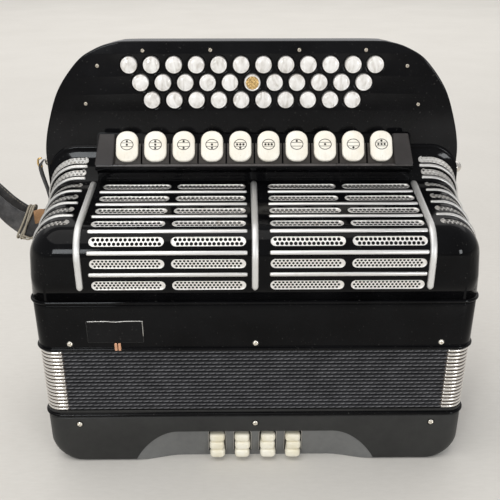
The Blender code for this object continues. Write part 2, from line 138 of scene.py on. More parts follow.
def slab(bm, top, bottom, index=0, uvs=None):
    """Closed sheet from two grids of points of the same size."""
    a = [[bm.verts.new(p) for p in row] for row in top]
    b = [[bm.verts.new(p) for p in row] for row in bottom]
    nr, nc = len(a), len(a[0])
    layer = bm.loops.layers.uv.verify() if uvs else None

    def face(vs, rc):
        f = bm.faces.new(vs)
        f.material_index = index
        if layer:
            for lp, (r, c) in zip(f.loops, rc):
                lp[layer].uv = uvs(r, c)
    for r in range(nr - 1):
        for c in range(nc - 1):
            q = ((r, c), (r, c + 1), (r + 1, c + 1), (r + 1, c))
            face([a[i][j] for i, j in q], q)
            q = tuple(reversed(q))
            face([b[i][j] for i, j in q], q)
    edge = [(0, c) for c in range(nc)] + [(r, nc - 1) for r in range(1, nr)]
    edge += [(nr - 1, c) for c in range(nc - 2, -1, -1)] + [(r, 0) for r in range(nr - 2, 0, -1)]
    for k in range(len(edge)):
        p, q = edge[k], edge[(k + 1) % len(edge)]
        face((a[q[0]][q[1]], a[p[0]][p[1]], b[p[0]][p[1]], b[q[0]][q[1]]), (q, p, p, q))


def rounded_rect(half_x, y0, y1, r, z, seg=8):
    pts = []
    corners = ((half_x - r, y1 - r, 0), (-half_x + r, y1 - r, 90),
               (-half_x + r, y0 + r, 180), (half_x - r, y0 + r, 270))
    for cx, cy, a0 in corners:
        for k in range(seg + 1):
            a = math.radians(a0 + 90.0 * k / seg)
            pts.append(Vector((cx + r * math.cos(a), cy + r * math.sin(a), z)))
    return pts


def boolean(a, b, op="DIFFERENCE", index=0):
    """Exact Boolean of two bmeshes in millimetres; new faces take a material index."""
    obs = []
    for bm, i in ((a, None), (b, index)):
        bmesh.ops.recalc_face_normals(bm, faces=bm.faces)
        if i is not None:
            for f in bm.faces:
                f.material_index = i
        me = bpy.data.meshes.new("tmp")
        bm.to_mesh(me)
        bm.free()
        for k in range(3):
            me.materials.append(SLOTS[k])
        ob = bpy.data.objects.new("tmp", me)
        scene.collection.objects.link(ob)
        obs.append(ob)
    mod = obs[0].modifiers.new("cut", "BOOLEAN")
    mod.object, mod.operation, mod.solver = obs[1], op, "EXACT"
    bpy.context.view_layer.update()
    dg = bpy.context.evaluated_depsgraph_get()
    me = bpy.data.meshes.new_from_object(obs[0].evaluated_get(dg))
    out = bmesh.new()
    out.from_mesh(me)
    for ob in obs:
        old = ob.data
        bpy.data.objects.remove(ob, do_unlink=True)
        bpy.data.meshes.remove(old)
    bpy.data.meshes.remove(me)
    return out


SLOTS = [bpy.data.materials.new("slot_%d" % k) for k in range(3)]


def borrow_normals(me, ref):
    """Faces that lie on the reference surface take its smooth normals."""
    tree, tri_normals, tri_points = ref
    loops = [None] * len(me.loops)
    corner = [Vector(n.vector) for n in me.corner_normals]
    for poly in me.polygons:
        c = Vector(poly.center)
        hit, n, i, d = tree.find_nearest(c)
        on = hit is not None and d < 0.00006 and abs(n.dot(poly.normal)) > 0.9
        for li in poly.loop_indices:
            if not on:
                loops[li] = corner[li] if poly.area < 1e-5 else Vector(poly.normal)
                continue
            p = Vector(me.vertices[me.loops[li].vertex_index].co)
            h, n2, j, d2 = tree.find_nearest(p)
            if h is None or d2 > 0.0001:
                loops[li] = Vector(poly.normal)
                continue
            a, b, e = tri_points[j]
            na, nb, ne = tri_normals[j]
            v0, v1, v2 = b - a, e - a, h - a
            d00, d01, d11 = v0.dot(v0), v0.dot(v1), v1.dot(v1)
            d20, d21 = v2.dot(v0), v2.dot(v1)
            den = d00 * d11 - d01 * d01
            if abs(den) < 1e-20:
                loops[li] = na
                continue
            y = (d11 * d20 - d01 * d21) / den
            z = (d00 * d21 - d01 * d20) / den
            loops[li] = (na * (1 - y - z) + nb * y + ne * z).normalized()
    me.normals_split_custom_set([tuple(v) for v in loops])


def reference(bm):
    """Nearest-point tree and smooth normals of an uncut surface, in metres."""
    work = bm.copy()
    bmesh.ops.recalc_face_normals(work, faces=work.faces)
    big = [f for f in work.faces if len(f.verts) > 6]
    bmesh.ops.delete(work, geom=big, context="FACES_ONLY")
    for v in work.verts:
        v.co = W((v.co.x + CASE_X, v.co.y, v.co.z))
    bmesh.ops.triangulate(work, faces=work.faces)
    work.normal_update()
    work.verts.ensure_lookup_table()
    tree = BVHTree.FromBMesh(work)
    normals = [tuple(Vector(v.normal) for v in f.verts) for f in work.faces]
    points = [tuple(Vector(v.co) for v in f.verts) for f in work.faces]
    work.free()
    return tree, normals, points


def fill_curve(outlines, thickness, bevel=0.0, res=2):
    """Filled 2D curve with holes as a bmesh in millimetres, lying in XY."""
    cu = bpy.data.curves.new("fill", "CURVE")
    cu.dimensions, cu.fill_mode = "2D", "BOTH"
    cu.extrude = (thickness / 2 - bevel) * MM
    cu.bevel_depth, cu.bevel_resolution = bevel * MM, res
    for pts in outlines:
        sp = cu.splines.new("POLY")
        sp.points.add(len(pts) - 1)
        for q, (a, b) in zip(sp.points, pts):
            q.co = (a * MM, b * MM, 0, 1)
        sp.use_cyclic_u = True
    tmp = bpy.data.objects.new("fill", cu)
    scene.collection.objects.link(tmp)
    bpy.context.view_layer.update()
    dg = bpy.context.evaluated_depsgraph_get()
    me = bpy.data.meshes.new_from_object(tmp.evaluated_get(dg))
    bm = bmesh.new()
    bm.from_mesh(me)
    bmesh.ops.remove_doubles(bm, verts=bm.verts, dist=0.000008)
    bpy.data.meshes.remove(me)
    bpy.data.objects.remove(tmp, do_unlink=True)
    bpy.data.curves.remove(cu)
    bmesh.ops.scale(bm, vec=(1 / MM, 1 / MM, 1 / MM), verts=bm.verts)
    return bm


def circle(x, z, r, seg=32, start=0.5):
    return [(x + r * math.cos(2 * math.pi * (k + start) / seg),
             z + r * math.sin(2 * math.pi * (k + start) / seg)) for k in range(seg)]


def stadium(w, h, seg=8):
    r = h / 2
    pts = []
    for side, a0 in ((1, -90), (-1, 90)):
        for k in range(seg + 1):
            a = math.radians(a0 + 180.0 * k / seg)
            pts.append((side * (w / 2 - r) + r * math.cos(a), r * math.sin(a)))
    return pts


def merge(parts):
    """One bmesh from several, as separate shells."""
    out = bmesh.new()
    for bm in parts:
        me = bpy.data.meshes.new("tmp")
        bm.to_mesh(me)
        bm.free()
        out.from_mesh(me)
        bpy.data.meshes.remove(me)
    return out


def lathe(profile, seg=24, centre=(0, 0, 0), axis="Y"):
    """Turned closed solid: profile of (distance along the axis, radius)."""
    bm = bmesh.new()
    rings = []
    for t, r in profile:
        ring = []
        for k in range(seg):
            a = 2 * math.pi * k / seg
            u, v = r * math.cos(a), r * math.sin(a)
            p = {"Y": (u, t, v), "X": (t, u, v), "Z": (u, v, t)}[axis]
            ring.append(Vector(p) + Vector(centre))
        rings.append(ring)
    loft(bm, rings)
    return bm


# ================================================================= materials
def material(name, base, rough, metallic=0.0, coat=0.0, coat_rough=0.1, spec=0.5):
    mat = bpy.data.materials.new(name)
    mat.use_nodes = True
    nt = mat.node_tree
    b = nt.nodes["Principled BSDF"]
    b.inputs["Base Color"].default_value = (*base, 1)
    b.inputs["Roughness"].default_value = rough
    b.inputs["Metallic"].default_value = metallic
    b.inputs["Coat Weight"].default_value = coat
    b.inputs["Coat Roughness"].default_value = coat_rough
    b.inputs["Specular IOR Level"].default_value = spec
    return mat, nt, b


def node(nt, kind, **values):
    n = nt.nodes.new(kind)
    for k, v in values.items():
        if k in n.inputs:
            n.inputs[k].default_value = v
        else:
            setattr(n, k, v)
    return n


def coords(nt, scale=(1, 1, 1), uv=None, rotation=(0, 0, 0)):
    """Object coordinates, or a UV layer's, scaled."""
    if uv:
        src = node(nt, "ShaderNodeUVMap", uv_map=uv).outputs["UV"]
    else:
        src = node(nt, "ShaderNodeTexCoord").outputs["Object"]
    m = node(nt, "ShaderNodeMapping")
    m.inputs["Scale"].default_value = scale
    m.inputs["Rotation"].default_value = rotation
    nt.links.new(src, m.inputs["Vector"])
    return m.outputs["Vector"]


def noise(nt, vec, scale, detail=4.0, rough=0.55, distortion=0.0):
    n = node(nt, "ShaderNodeTexNoise", Scale=scale, Detail=detail, Roughness=rough, Distortion=distortion)
    nt.links.new(vec, n.inputs["Vector"])
    return n.outputs["Fac"]


def ramp(nt, fac, stops):
    r = node(nt, "ShaderNodeValToRGB")
    el = r.color_ramp.elements
    while len(el) < len(stops):
        el.new(0.5)
    for e, (pos, col) in zip(el, stops):
        e.position = pos
        e.color = (*col, 1) if isinstance(col, (tuple, list)) else (col, col, col, 1)
    nt.links.new(fac, r.inputs["Fac"])
    return r.outputs["Color"]


def math_node(nt, op, a, b=None):
    m = node(nt, "ShaderNodeMath", operation=op)
    for k, v in enumerate((a, b)):
        if v is None:
            continue
        if hasattr(v, "links"):
            nt.links.new(v, m.inputs[k])
        else:
            m.inputs[k].default_value = v
    return m.outputs["Value"]


def mix(nt, fac, a, b, blend="MIX"):
    m = node(nt, "ShaderNodeMix", data_type="RGBA", blend_type=blend)
    for k, v in ((0, fac), (6, a), (7, b)):
        if hasattr(v, "links"):
            nt.links.new(v, m.inputs[k])
        else:
            m.inputs[k].default_value = v if k == 0 else ((*v, 1) if len(v) == 3 else v)
    return m.outputs[2]


def bump(nt, b, height, strength, distance=0.001):
    n = node(nt, "ShaderNodeBump", Strength=strength, Distance=distance)
    nt.links.new(height, n.inputs["Height"])
    nt.links.new(n.outputs["Normal"], b.inputs["Normal"])
    return n


def black_celluloid(name="black_celluloid", base=(0.0023, 0.0023, 0.0027), rough=(0.05, 0.13), spec=0.105):
    """Polished black celluloid: faint haze, dust specks and hair scratches."""
    mat, nt, b = material(name, base, 0.1, coat=0.0, spec=spec)
    v = coords(nt)
    haze = noise(nt, v, 26.0, 5.0)
    smear = noise(nt, coords(nt, (60, 9, 22)), 3.0, 6.0, 0.65)
    fine = noise(nt, v, 900.0, 2.0)
    nt.links.new(ramp(nt, math_node(nt, "MULTIPLY", haze, smear), [(0.12, rough[0]), (0.45, rough[1])]),
                 b.inputs["Roughness"])
    specks = ramp(nt, noise(nt, v, 520.0, 1.0), [(0.70, 0.0), (0.78, 1.0)])
    dust = ramp(nt, haze, [(0.35, tuple(0.8 * c for c in base)), (0.75, tuple(1.5 * c + 0.001 for c in base))])
    nt.links.new(mix(nt, math_node(nt, "MULTIPLY", specks, 0.10), dust, (0.25, 0.24, 0.22)), b.inputs["Base Color"])
    bump(nt, b, math_node(nt, "ADD", math_node(nt, "MULTIPLY", haze, 0.5), math_node(nt, "MULTIPLY", fine, 0.08)),
         0.05, 0.0006)
    return mat


def satin(name, dark, light, rough, grain=700.0, spec=0.4, strength=0.12, patch=14.0):
    """Matte paint or moulded plastic with a fine grain and rubbed patches."""
    mat, nt, b = material(name, light, rough, spec=spec)
    v = coords(nt)
    big = noise(nt, v, patch, 6.0, 0.6)
    mid = noise(nt, v, patch * 9, 4.0, 0.6)
    fine = noise(nt, v, grain, 2.0)
    f = math_node(nt, "ADD", math_node(nt, "MULTIPLY", big, 0.65), math_node(nt, "MULTIPLY", mid, 0.35))
    nt.links.new(ramp(nt, f, [(0.35, dark), (0.65, light)]), b.inputs["Base Color"])
    nt.links.new(ramp(nt, big, [(0.3, rough - 0.07), (0.7, rough + 0.07)]), b.inputs["Roughness"])
    bump(nt, b, fine, strength, 0.0003)
    return mat


def brushed(name, base, rough, stretch, streak=0.25, tarnish=(0.5, 0.46, 0.4), wear=0.2):
    """Metal with fine lines along one direction and light tarnish."""
    mat, nt, b = material(name, base, rough, metallic=1.0)
    lines = noise(nt, coords(nt, stretch), 1.0, 3.0, 0.6)
    spots = noise(nt, coords(nt), 190.0, 5.0, 0.6)
    nt.links.new(ramp(nt, lines, [(0.25, max(0.05, rough - streak * 0.4)), (0.75, rough + streak * 0.4)]),
                 b.inputs["Roughness"])
    c = mix(nt, ramp(nt, spots, [(0.56, 0.0), (0.72, wear)]), base, tarnish)
    c = mix(nt, math_node(nt, "MULTIPLY", lines, 0.25), c, tuple(min(1.0, v * 1.15) for v in base))
    nt.links.new(c, b.inputs["Base Color"])
    bump(nt, b, lines, 0.06, 0.0002)
    return mat


def pearl_material():
    """Mother-of-pearl celluloid: soft satin streaks that turn from cap to cap."""
    mat, nt, b = material("pearl", (0.8, 0.79, 0.76), 0.2, coat=0.35, coat_rough=0.06, spec=0.5)
    v = coords(nt)
    turn = noise(nt, v, 33.0, 0.0)
    streak = noise(nt, coords(nt, (150, 40, 60), rotation=(0.2, 0.9, 0.4)), 1.0, 2.5, 0.5, 1.6)
    cloud = noise(nt, v, 120.0, 3.0, 0.5, 0.8)
    f = math_node(nt, "ADD", math_node(nt, "MULTIPLY", streak, 0.7), math_node(nt, "MULTIPLY", cloud, 0.3))
    tone = ramp(nt, f, [(0.36, (0.58, 0.55, 0.50)), (0.48, (0.80, 0.775, 0.735)), (0.62, (0.93, 0.915, 0.885))])
    nt.links.new(mix(nt, math_node(nt, "MULTIPLY", turn, 0.16), tone, (0.80, 0.72, 0.70)), b.inputs["Base Color"])
    nt.links.new(ramp(nt, cloud, [(0.3, 0.16), (0.7, 0.28)]), b.inputs["Roughness"])
    bump(nt, b, cloud, 0.03, 0.0003)
    return mat


def ivory_material(name, light, shade, rough=0.28):
    """Aged cast plastic: yellowed patches, fine scuffs, a few dirt pits."""
    mat, nt, b = material(name, light, rough, coat=0.2, coat_rough=0.12)
    v = coords(nt)
    big = noise(nt, v, 60.0, 4.0)
    scuff = noise(nt, coords(nt, (500, 160, 90)), 1.0, 3.0, 0.6)
    pits = ramp(nt, noise(nt, v, 700.0, 1.0), [(0.73, 0.0), (0.79, 1.0)])
    tone = ramp(nt, big, [(0.35, shade), (0.62, light)])
    nt.links.new(mix(nt, math_node(nt, "MULTIPLY", pits, 0.22), tone, (0.30, 0.24, 0.16)), b.inputs["Base Color"])
    nt.links.new(ramp(nt, scuff, [(0.3, rough - 0.08), (0.7, rough + 0.12)]), b.inputs["Roughness"])
    bump(nt, b, scuff, 0.05, 0.0002)
    return mat


def leather(name, dark, light, edge, rough=0.5, crack=260.0):
    """Worn leather: pebbled grain, creases and rubbed-through lighter areas."""
    mat, nt, b = material(name, dark, rough, spec=0.4)
    v = coords(nt)
    vor = node(nt, "ShaderNodeTexVoronoi", Scale=crack * 3.2)
    vor.feature = "DISTANCE_TO_EDGE"
    nt.links.new(v, vor.inputs["Vector"])
    crease = noise(nt, coords(nt, (60, 60, 190)), 1.4, 5.0, 0.65, 0.6)
    rub = noise(nt, v, 55.0, 5.0, 0.6)
    cells = ramp(nt, vor.outputs["Distance"], [(0.0, 0.0), (0.16, 1.0)])
    tone = mix(nt, ramp(nt, rub, [(0.42, 0.0), (0.68, 1.0)]), dark, light)
    tone = mix(nt, ramp(nt, crease, [(0.60, 0.0), (0.70, 0.7)]), tone, edge)
    nt.links.new(mix(nt, math_node(nt, "SUBTRACT", 0.35, math_node(nt, "MULTIPLY", cells, 0.35)), tone,
                     tuple(c * 0.4 for c in dark)), b.inputs["Base Color"])
    nt.links.new(ramp(nt, rub, [(0.3, rough - 0.12), (0.7, rough + 0.12)]), b.inputs["Roughness"])
    bump(nt, b, math_node(nt, "ADD", cells, math_node(nt, "MULTIPLY", crease, 1.5)), 0.35, 0.0004)
    return mat


def bellows_cloth():
    """Embossed bookcloth: one slanted dash row on each fold, soft black."""
    mat, nt, b = material("bellows_cloth", (0.02, 0.02, 0.022), 0.6, spec=0.35)
    src = node(nt, "ShaderNodeUVMap", uv_map="weave").outputs["UV"]
    sep = node(nt, "ShaderNodeSeparateXYZ")
    nt.links.new(src, sep.inputs["Vector"])
    u, v = sep.outputs["X"], sep.outputs["Y"]
    # u counts dash pitches round the bellows, v counts folds
    fold = math_node(nt, "FLOOR", v)
    t = math_node(nt, "SUBTRACT", v, fold)
    odd = math_node(nt, "MULTIPLY", math_node(nt, "MODULO", fold, 2.0), 0.5)
    wobble = math_node(nt, "MULTIPLY", noise(nt, coords(nt), 140.0, 2.0), 0.10)
    uu = math_node(nt, "ADD", math_node(nt, "ADD", u, odd), wobble)
    fu = math_node(nt, "FRACT", uu)
    slant = math_node(nt, "ADD", math_node(nt, "MULTIPLY", fu, 0.36), 0.30)
    off = math_node(nt, "ABSOLUTE", math_node(nt, "SUBTRACT", t, slant))
    across = ramp(nt, off, [(0.05, 1.0), (0.15, 0.0)])
    along = ramp(nt, math_node(nt, "ABSOLUTE", math_node(nt, "SUBTRACT", fu, 0.5)), [(0.33, 1.0), (0.44, 0.0)])
    dash = math_node(nt, "MULTIPLY", across, along)
    worn = noise(nt, coords(nt), 70.0, 5.0, 0.6)
    fibre = noise(nt, coords(nt), 2600.0, 2.0)
    ground = ramp(nt, worn, [(0.35, (0.016, 0.016, 0.018)), (0.7, (0.034, 0.034, 0.037))])
    light = ramp(nt, worn, [(0.3, (0.10, 0.10, 0.105)), (0.7, (0.19, 0.19, 0.20))])
    nt.links.new(mix(nt, dash, ground, light), b.inputs["Base Color"])
    nt.links.new(ramp(nt, dash, [(0.0, 0.62), (1.0, 0.34)]), b.inputs["Roughness"])
    bump(nt, b, math_node(nt, "ADD", dash, math_node(nt, "MULTIPLY", fibre, 0.25)), 0.5, 0.0005)
    return mat


def nickel_corner():
    """Nickel folds with brown tarnish down in the grooves."""
    mat, nt, b = material("nickel_corner", (0.78, 0.75, 0.70), 0.24, metallic=1.0)
    src = node(nt, "ShaderNodeUVMap", uv_map="weave").outputs["UV"]
    sep = node(nt, "ShaderNodeSeparateXYZ")
    nt.links.new(src, sep.inputs["Vector"])
    t = math_node(nt, "FRACT", sep.outputs["Y"])
    away = math_node(nt, "ABSOLUTE", math_node(nt, "SUBTRACT", t, 0.5))
    spots = noise(nt, coords(nt), 230.0, 5.0, 0.65)
    groove = ramp(nt, math_node(nt, "ADD", away, math_node(nt, "MULTIPLY", spots, 0.10)), [(0.27, 0.0), (0.44, 1.0)])
    base = mix(nt, ramp(nt, spots, [(0.55, 0.0), (0.75, 0.4)]), (0.88, 0.85, 0.80), (0.64, 0.57, 0.49))
    nt.links.new(mix(nt, groove, base, (0.10, 0.062, 0.038)), b.inputs["Base Color"])
    nt.links.new(ramp(nt, groove, [(0.0, 0.22), (1.0, 0.55)]), b.inputs["Roughness"])
    bump(nt, b, spots, 0.06, 0.0002)
    return mat


def floor_material():
    mat, nt, b = material("pale_floor", (0.64, 0.62, 0.58), 0.6, spec=0.1)
    v = coords(nt)
    big = noise(nt, v, 3.2, 5.0, 0.6)
    fine = noise(nt, coords(nt, (1, 3.5, 1)), 85.0, 5.0, 0.7)
    f = math_node(nt, "ADD", math_node(nt, "MULTIPLY", big, 0.5), math_node(nt, "MULTIPLY", fine, 0.5))
    nt.links.new(ramp(nt, f, [(0.35, (0.625, 0.602, 0.560)), (0.65, (0.685, 0.662, 0.620))]), b.inputs["Base Color"])
    bump(nt, b, fine, 0.05, 0.0005)
    return mat


BLACK = black_celluloid()
BOARD_BLACK = black_celluloid("black_board", (0.0036, 0.0036, 0.0042), (0.05, 0.12), 0.14)
SATIN = satin("satin_charcoal", (0.017, 0.017, 0.0165), (0.029, 0.029, 0.0275), 0.40, spec=0.3)
GREY = satin("matte_grey", (0.130, 0.130, 0.126), (0.170, 0.170, 0.164), 0.62, spec=0.25, patch=20.0)
DARK_GREY = satin("register_grey", (0.024, 0.021, 0.020), (0.038, 0.034, 0.033), 0.45, spec=0.3)
ROCKER = satin("rocker_brown", (0.026, 0.022, 0.018), (0.046, 0.039, 0.033), 0.38, spec=0.35)
# dark lip colour with lighter patches that are painted reflections of the tabs
LIP = satin("lip_painted_reflections", (0.035, 0.031, 0.030), (0.095, 0.086, 0.082), 0.30, spec=0.5, patch=70.0)
# near-black: black felt behind the grille mesh, and painted shade inside the bass case and round the case screws
PIT = satin("black_felt_and_painted_shade", (0.006, 0.006, 0.006), (0.010, 0.010, 0.010), 0.8, spec=0.2)
FRAME_GREY = satin("bellows_frame", (0.011, 0.011, 0.011), (0.022, 0.022, 0.021), 0.40, spec=0.3)
SLOT_EDGE = brushed("slot_edge", (0.50, 0.49, 0.47), 0.35, (260, 260, 260), wear=0.3)
DULL_SCREW = brushed("screw_dull", (0.50, 0.45, 0.38), 0.36, (400, 400, 400), tarnish=(0.22, 0.16, 0.09), wear=0.7)
# darker copy of the trim aluminium for the shoulders: its lower base colour is painted shade
SHADED_SIDE_ALU = brushed("aluminium_side_painted_shade", (0.62, 0.61, 0.59), 0.46, (9, 300, 300), wear=0.3)
# darker copy of the silver mesh for the shoulder strips: its lower base colour is painted shade
SHADED_SIDE_SILVER = brushed("silver_side_painted_shade", (0.52, 0.505, 0.48), 0.5, (220, 220, 220), tarnish=(0.34, 0.28, 0.22), wear=0.5)
ALU = brushed("aluminium", (0.76, 0.75, 0.735), 0.42, (9, 300, 300), wear=0.25)
BAR = brushed("aluminium_bar", (0.72, 0.715, 0.70), 0.52, (900, 14, 14), wear=0.3)
SILVER = brushed("silver_mesh", (0.90, 0.88, 0.85), 0.46, (220, 220, 220), tarnish=(0.55, 0.45, 0.36), wear=0.45)
SCREW = brushed("screw_nickel", (0.80, 0.76, 0.68), 0.26, (400, 400, 400), tarnish=(0.5, 0.38, 0.22), wear=0.6)
STUD = brushed("stud_nickel", (0.74, 0.71, 0.66), 0.22, (300, 300, 300), tarnish=(0.45, 0.38, 0.30), wear=0.5)
BRASS = brushed("brass", (0.72, 0.50, 0.22), 0.3, (300, 300, 300), tarnish=(0.36, 0.24, 0.10), wear=0.6)
COPPER = brushed("copper", (0.80, 0.46, 0.30), 0.3, (300, 300, 300), tarnish=(0.4, 0.2, 0.12), wear=0.4)
PEARL = pearl_material()
IVORY = ivory_material("ivory", (0.90, 0.865, 0.775), (0.84, 0.785, 0.67))
CREAM = ivory_material("cream", (0.86, 0.82, 0.70), (0.76, 0.70, 0.53), 0.36)
INK = satin("engraving", (0.010, 0.009, 0.008), (0.03, 0.026, 0.022), 0.6, spec=0.2)
CLOTH = bellows_cloth()
NICKEL = nickel_corner()
LEATHER = leather("strap_leather", (0.035, 0.034, 0.035), (0.13, 0.125, 0.125), (0.17, 0.12, 0.07))
TAN = leather("tan_leather", (0.33, 0.17, 0.075), (0.47, 0.26, 0.12), (0.20, 0.10, 0.045), 0.55, 200.0)
THREAD = satin("thread", (0.30, 0.26, 0.20), (0.42, 0.38, 0.30), 0.8, spec=0.2)
WOOD = satin("spruce", (0.46, 0.31, 0.17), (0.62, 0.45, 0.27), 0.55, grain=300.0, patch=30.0)
FLOOR = floor_material()


# ============================================================== cover surface
def profile_points(inset=0.0, bend=6, rise=5, foot=None):
    """(y, z, front weight, top weight) up the grille cover."""
    r = FRONT_R - inset
    foot_z = foot if foot is not None else COVER_Z0 - (10.0 if inset else 0.0)
    pts = [(inset, foot_z, 1.0, 0.0), (inset, 182.0, 1.0, 0.0), (inset, FRONT_H, 1.0, 0.0)]
    end = math.radians(80.0)
    for k in range(1, bend + 1):
        a = end * k / bend
        pts.append((FRONT_R - r * math.cos(a), FRONT_H + r * math.sin(a), math.cos(a), math.sin(a)))
    y, z = pts[-1][0], pts[-1][1]
    for t in (0.25, 0.5, 0.75, 1.0):
        yy = y + (TOP_END_Y - y) * t
        pts.append((yy, z + (yy - y) * math.tan(TOP_SLOPE), 0.0, 1.0))
    y, z = pts[-1][0], pts[-1][1]
    for k in range(1, rise + 1):
        a = math.radians(90.0 * k / rise)
        pts.append((y + (BOARD_Y - GAP - y) * math.sin(a) ** 0.9 + inset * 0.4 * math.sin(a),
                    z + 31.0 * (1 - math.cos(a)) ** 0.8, 0.0, 1.0))
    if inset:
        pts.append((BOARD_Y + 8.0, pts[-1][1] + 0.1, 0.0, 1.0))
    return pts


def side_r(z):
    """Plan radius of the cover's front corners: the case's at the foot, fuller above."""
    t = min(1.0, max(0.0, (z - 170.0) / 36.0))
    return 15.0 + 10.0 * t * t * (3 - 2 * t)


def cover_point(x, p, inset=0.0):
    y, z, front, top = p
    r = SHOULDER_R - inset
    u = min(1.0, max(0.0, abs(x) - (HALF_W - SHOULDER_R)) / r)
    drop = r * (1 - math.sqrt(1 - u * u))
    wide = side_r(z)
    r = wide - inset
    v = min(1.0, max(0.0, abs(x) - (HALF_W - wide)) / r)
    back = r * (1 - math.sqrt(1 - v * v))
    return Vector((x, y + back * front, z - drop * top))


def cover_solid(inset=0.0, fine=14, bend=20, rise=14):
    r = SHOULDER_R - inset
    xs = {round(HALF_W - SHOULDER_R + r * math.sin(math.radians(90.0 * k / fine)), 4) for k in range(fine + 1)}
    for wide in (15.0, 20.0, 25.0):
        r = wide - inset
        xs |= {round(HALF_W - wide + r * math.sin(math.radians(90.0 * k / 8)), 4) for k in range(8)}
    xs = sorted(xs)
    keep = [xs[0]]
    for x in xs[1:]:
        if x - keep[-1] > 0.25 or x == xs[-1]:
            if x == xs[-1] and x - keep[-1] <= 0.25:
                keep.pop()
            keep.append(x)
    flat = [0.0, 52.0, 104.0]
    xs = [-x for x in reversed(flat[1:] + keep)] + flat + keep
    profile = profile_points(inset, bend, rise)
    back_y = profile[-1][0]
    bm = bmesh.new()
    rings = []
    for x in xs:
        ring = [cover_point(x, p, inset) for p in profile]
        ring.append(Vector((x, back_y, profile[0][1])))
        rings.append(ring)
    loft(bm, rings)
    return bm


def surface_at(arc):
    bend = FRONT_R * math.radians(80.0)
    if arc <= FRONT_H:
        return 0.0, arc, 0.0
    if arc <= FRONT_H + bend:
        a = (arc - FRONT_H) / FRONT_R
        return FRONT_R * (1 - math.cos(a)), FRONT_H + FRONT_R * math.sin(a), a
    a = math.radians(80.0)
    t = arc - FRONT_H - bend
    return (FRONT_R * (1 - math.cos(a)) + t * math.cos(TOP_SLOPE),
            FRONT_H + FRONT_R * math.sin(a) + t * math.sin(TOP_SLOPE), a)


def on_front(x, arc, height=0.0):
    """Point above the cover's front or top at x and an arc length."""
    y, z, tilt = surface_at(arc)
    return Vector((x, y - math.cos(tilt) * height, z + math.sin(tilt) * height))


def rise_profile():
    """Fine (y, z) line of the cover's top slope and the rise behind it."""
    pts = [(p[0], p[1]) for p in profile_points(0.0, 20, 60)]
    return pts[23:]


RISE = rise_profile()


def top_line(y):
    """z, tangent (ty, tz) of the cover's top at y."""
    for (ya, za), (yb, zb) in zip(RISE, RISE[1:]):
        if y <= yb or (yb, zb) == RISE[-1]:
            t = (y - ya) / (yb - ya) if yb > ya else 0.0
            d = Vector((yb - ya, zb - za)).normalized()
            return za + (zb - za) * t, d.x, d.y
    return RISE[-1][1], 0.0, 1.0


def on_shoulder(side, s, y, v=0.0, height=0.0):
    """Point on the cover at distance s from the middle, going over the shoulder
    and down the side, v along the slope from y, and height off the surface."""
    z, ty, tz = top_line(y)
    flat = HALF_W - SHOULDER_R
    if s <= flat:
        th, x, drop, down = 0.0, s, 0.0, 0.0
    else:
        th = min((s - flat) / SHOULDER_R, math.pi / 2)
        x = flat + SHOULDER_R * math.sin(th)
        drop = SHOULDER_R * (1 - math.cos(th))
        down = max(0.0, s - flat - SHOULDER_R * math.pi / 2)
    c, sn = math.cos(th), math.sin(th)
    n = Vector((sn * ty, -c * tz, c * ty)).normalized()
    # across the slot: along the slope on top, turning level on the side
    b = Vector((0.0, ty, tz))
    p = Vector((x, y, z - drop - down)) + b * v + n * height
    return Vector((side * p.x, p.y, p.z))


MAIN_SLOTS = ((-102.3, 59.6), (-37.4, 59.6), (41.6, 59.6), (106.6, 59.6))
SLOT_H = 7.8
ROW_ARCS = (178.5, 197.7, 216.0, 234.3, 254.1, 274.3, 294.8)
TRIM_ARCS = (188.2, 206.9, 225.0, 245.2, 264.6, 285.4)
WALL_Y = 88.4                      # the register housing's wall, well behind its lip
SIDE_ROWS = [(23.4, 3.7), (43.2, 3.7), (63.4, 3.7), (83.6, 3.3), (95.4, 3.0), (101.2, 2.8)]
SIDE_LINES = [33.3, 53.3, 73.4, 91.3, 98.7]
SIDE_IN = [150.0, 150.0, 150.5, 150.5, 149.0, 147.0]
SIDE_OUT = 214.0


def side_half(s, s0, s1, h):
    """Half height of a slot with round ends at distance s."""
    e = min(s - s0, s1 - s)
    if e >= h:
        return h
    return h * math.sqrt(max(0.0025, 1 - (1 - e / h) ** 2))


def side_stations(s0, s1, h):
    e = [h * (1 - math.cos(math.radians(a))) for a in (0, 20, 40, 60, 90)]
    mid = [s0 + h + (s1 - s0 - 2 * h) * k / 22 for k in range(1, 22)]
    return [s0 + d for d in e] + mid + [s1 - d for d in reversed(e)]


cover = cover_solid()
cover_ref = reference(cover)
cover = boolean(cover, cover_solid(COVER_T, 8, 8, 6))
seat = bmesh.new()
bmesh.ops.create_cube(seat, size=1.0)
bmesh.ops.scale(seat, vec=(2 * HOUSING_HALF + 1.2, BOARD_Y + 5 - WALL_Y + 0.1, 85), verts=seat.verts)
bmesh.ops.translate(seat, vec=(0, (BOARD_Y + 5 + WALL_Y - 0.1) / 2, 257.5), verts=seat.verts)
cover = boolean(cover, seat)
cutters = []
for arc in ROW_ARCS:
    for xc, w in MAIN_SLOTS:
        bm = bmesh.new()
        outline = stadium(w, SLOT_H, 8)
        loft(bm, [[on_front(xc + px, arc + pz, 3.0) for px, pz in outline],
                  [on_front(xc + px, arc + pz, -4.5) for px, pz in outline]])
        cutters.append(bm)
for (y, h), s0 in zip(SIDE_ROWS, SIDE_IN):
    for side in (-1, 1):
        bm = bmesh.new()
        rings = []
        for s in side_stations(s0, SIDE_OUT, h):
            w = side_half(s, s0, SIDE_OUT, h)
            rings.append([on_shoulder(side, s, y, v, o) for v, o in ((-w, -4.2), (w, -4.2), (w, 3.0), (-w, 3.0))])
        loft(bm, rings)
        cutters.append(bm)
for bm in cutters:
    bmesh.ops.recalc_face_normals(bm, faces=bm.faces)
cover = boolean(cover, merge(cutters))
add("grille_cover_shell", cover, BLACK, replaces=("grille_cover",), normals=cover_ref)


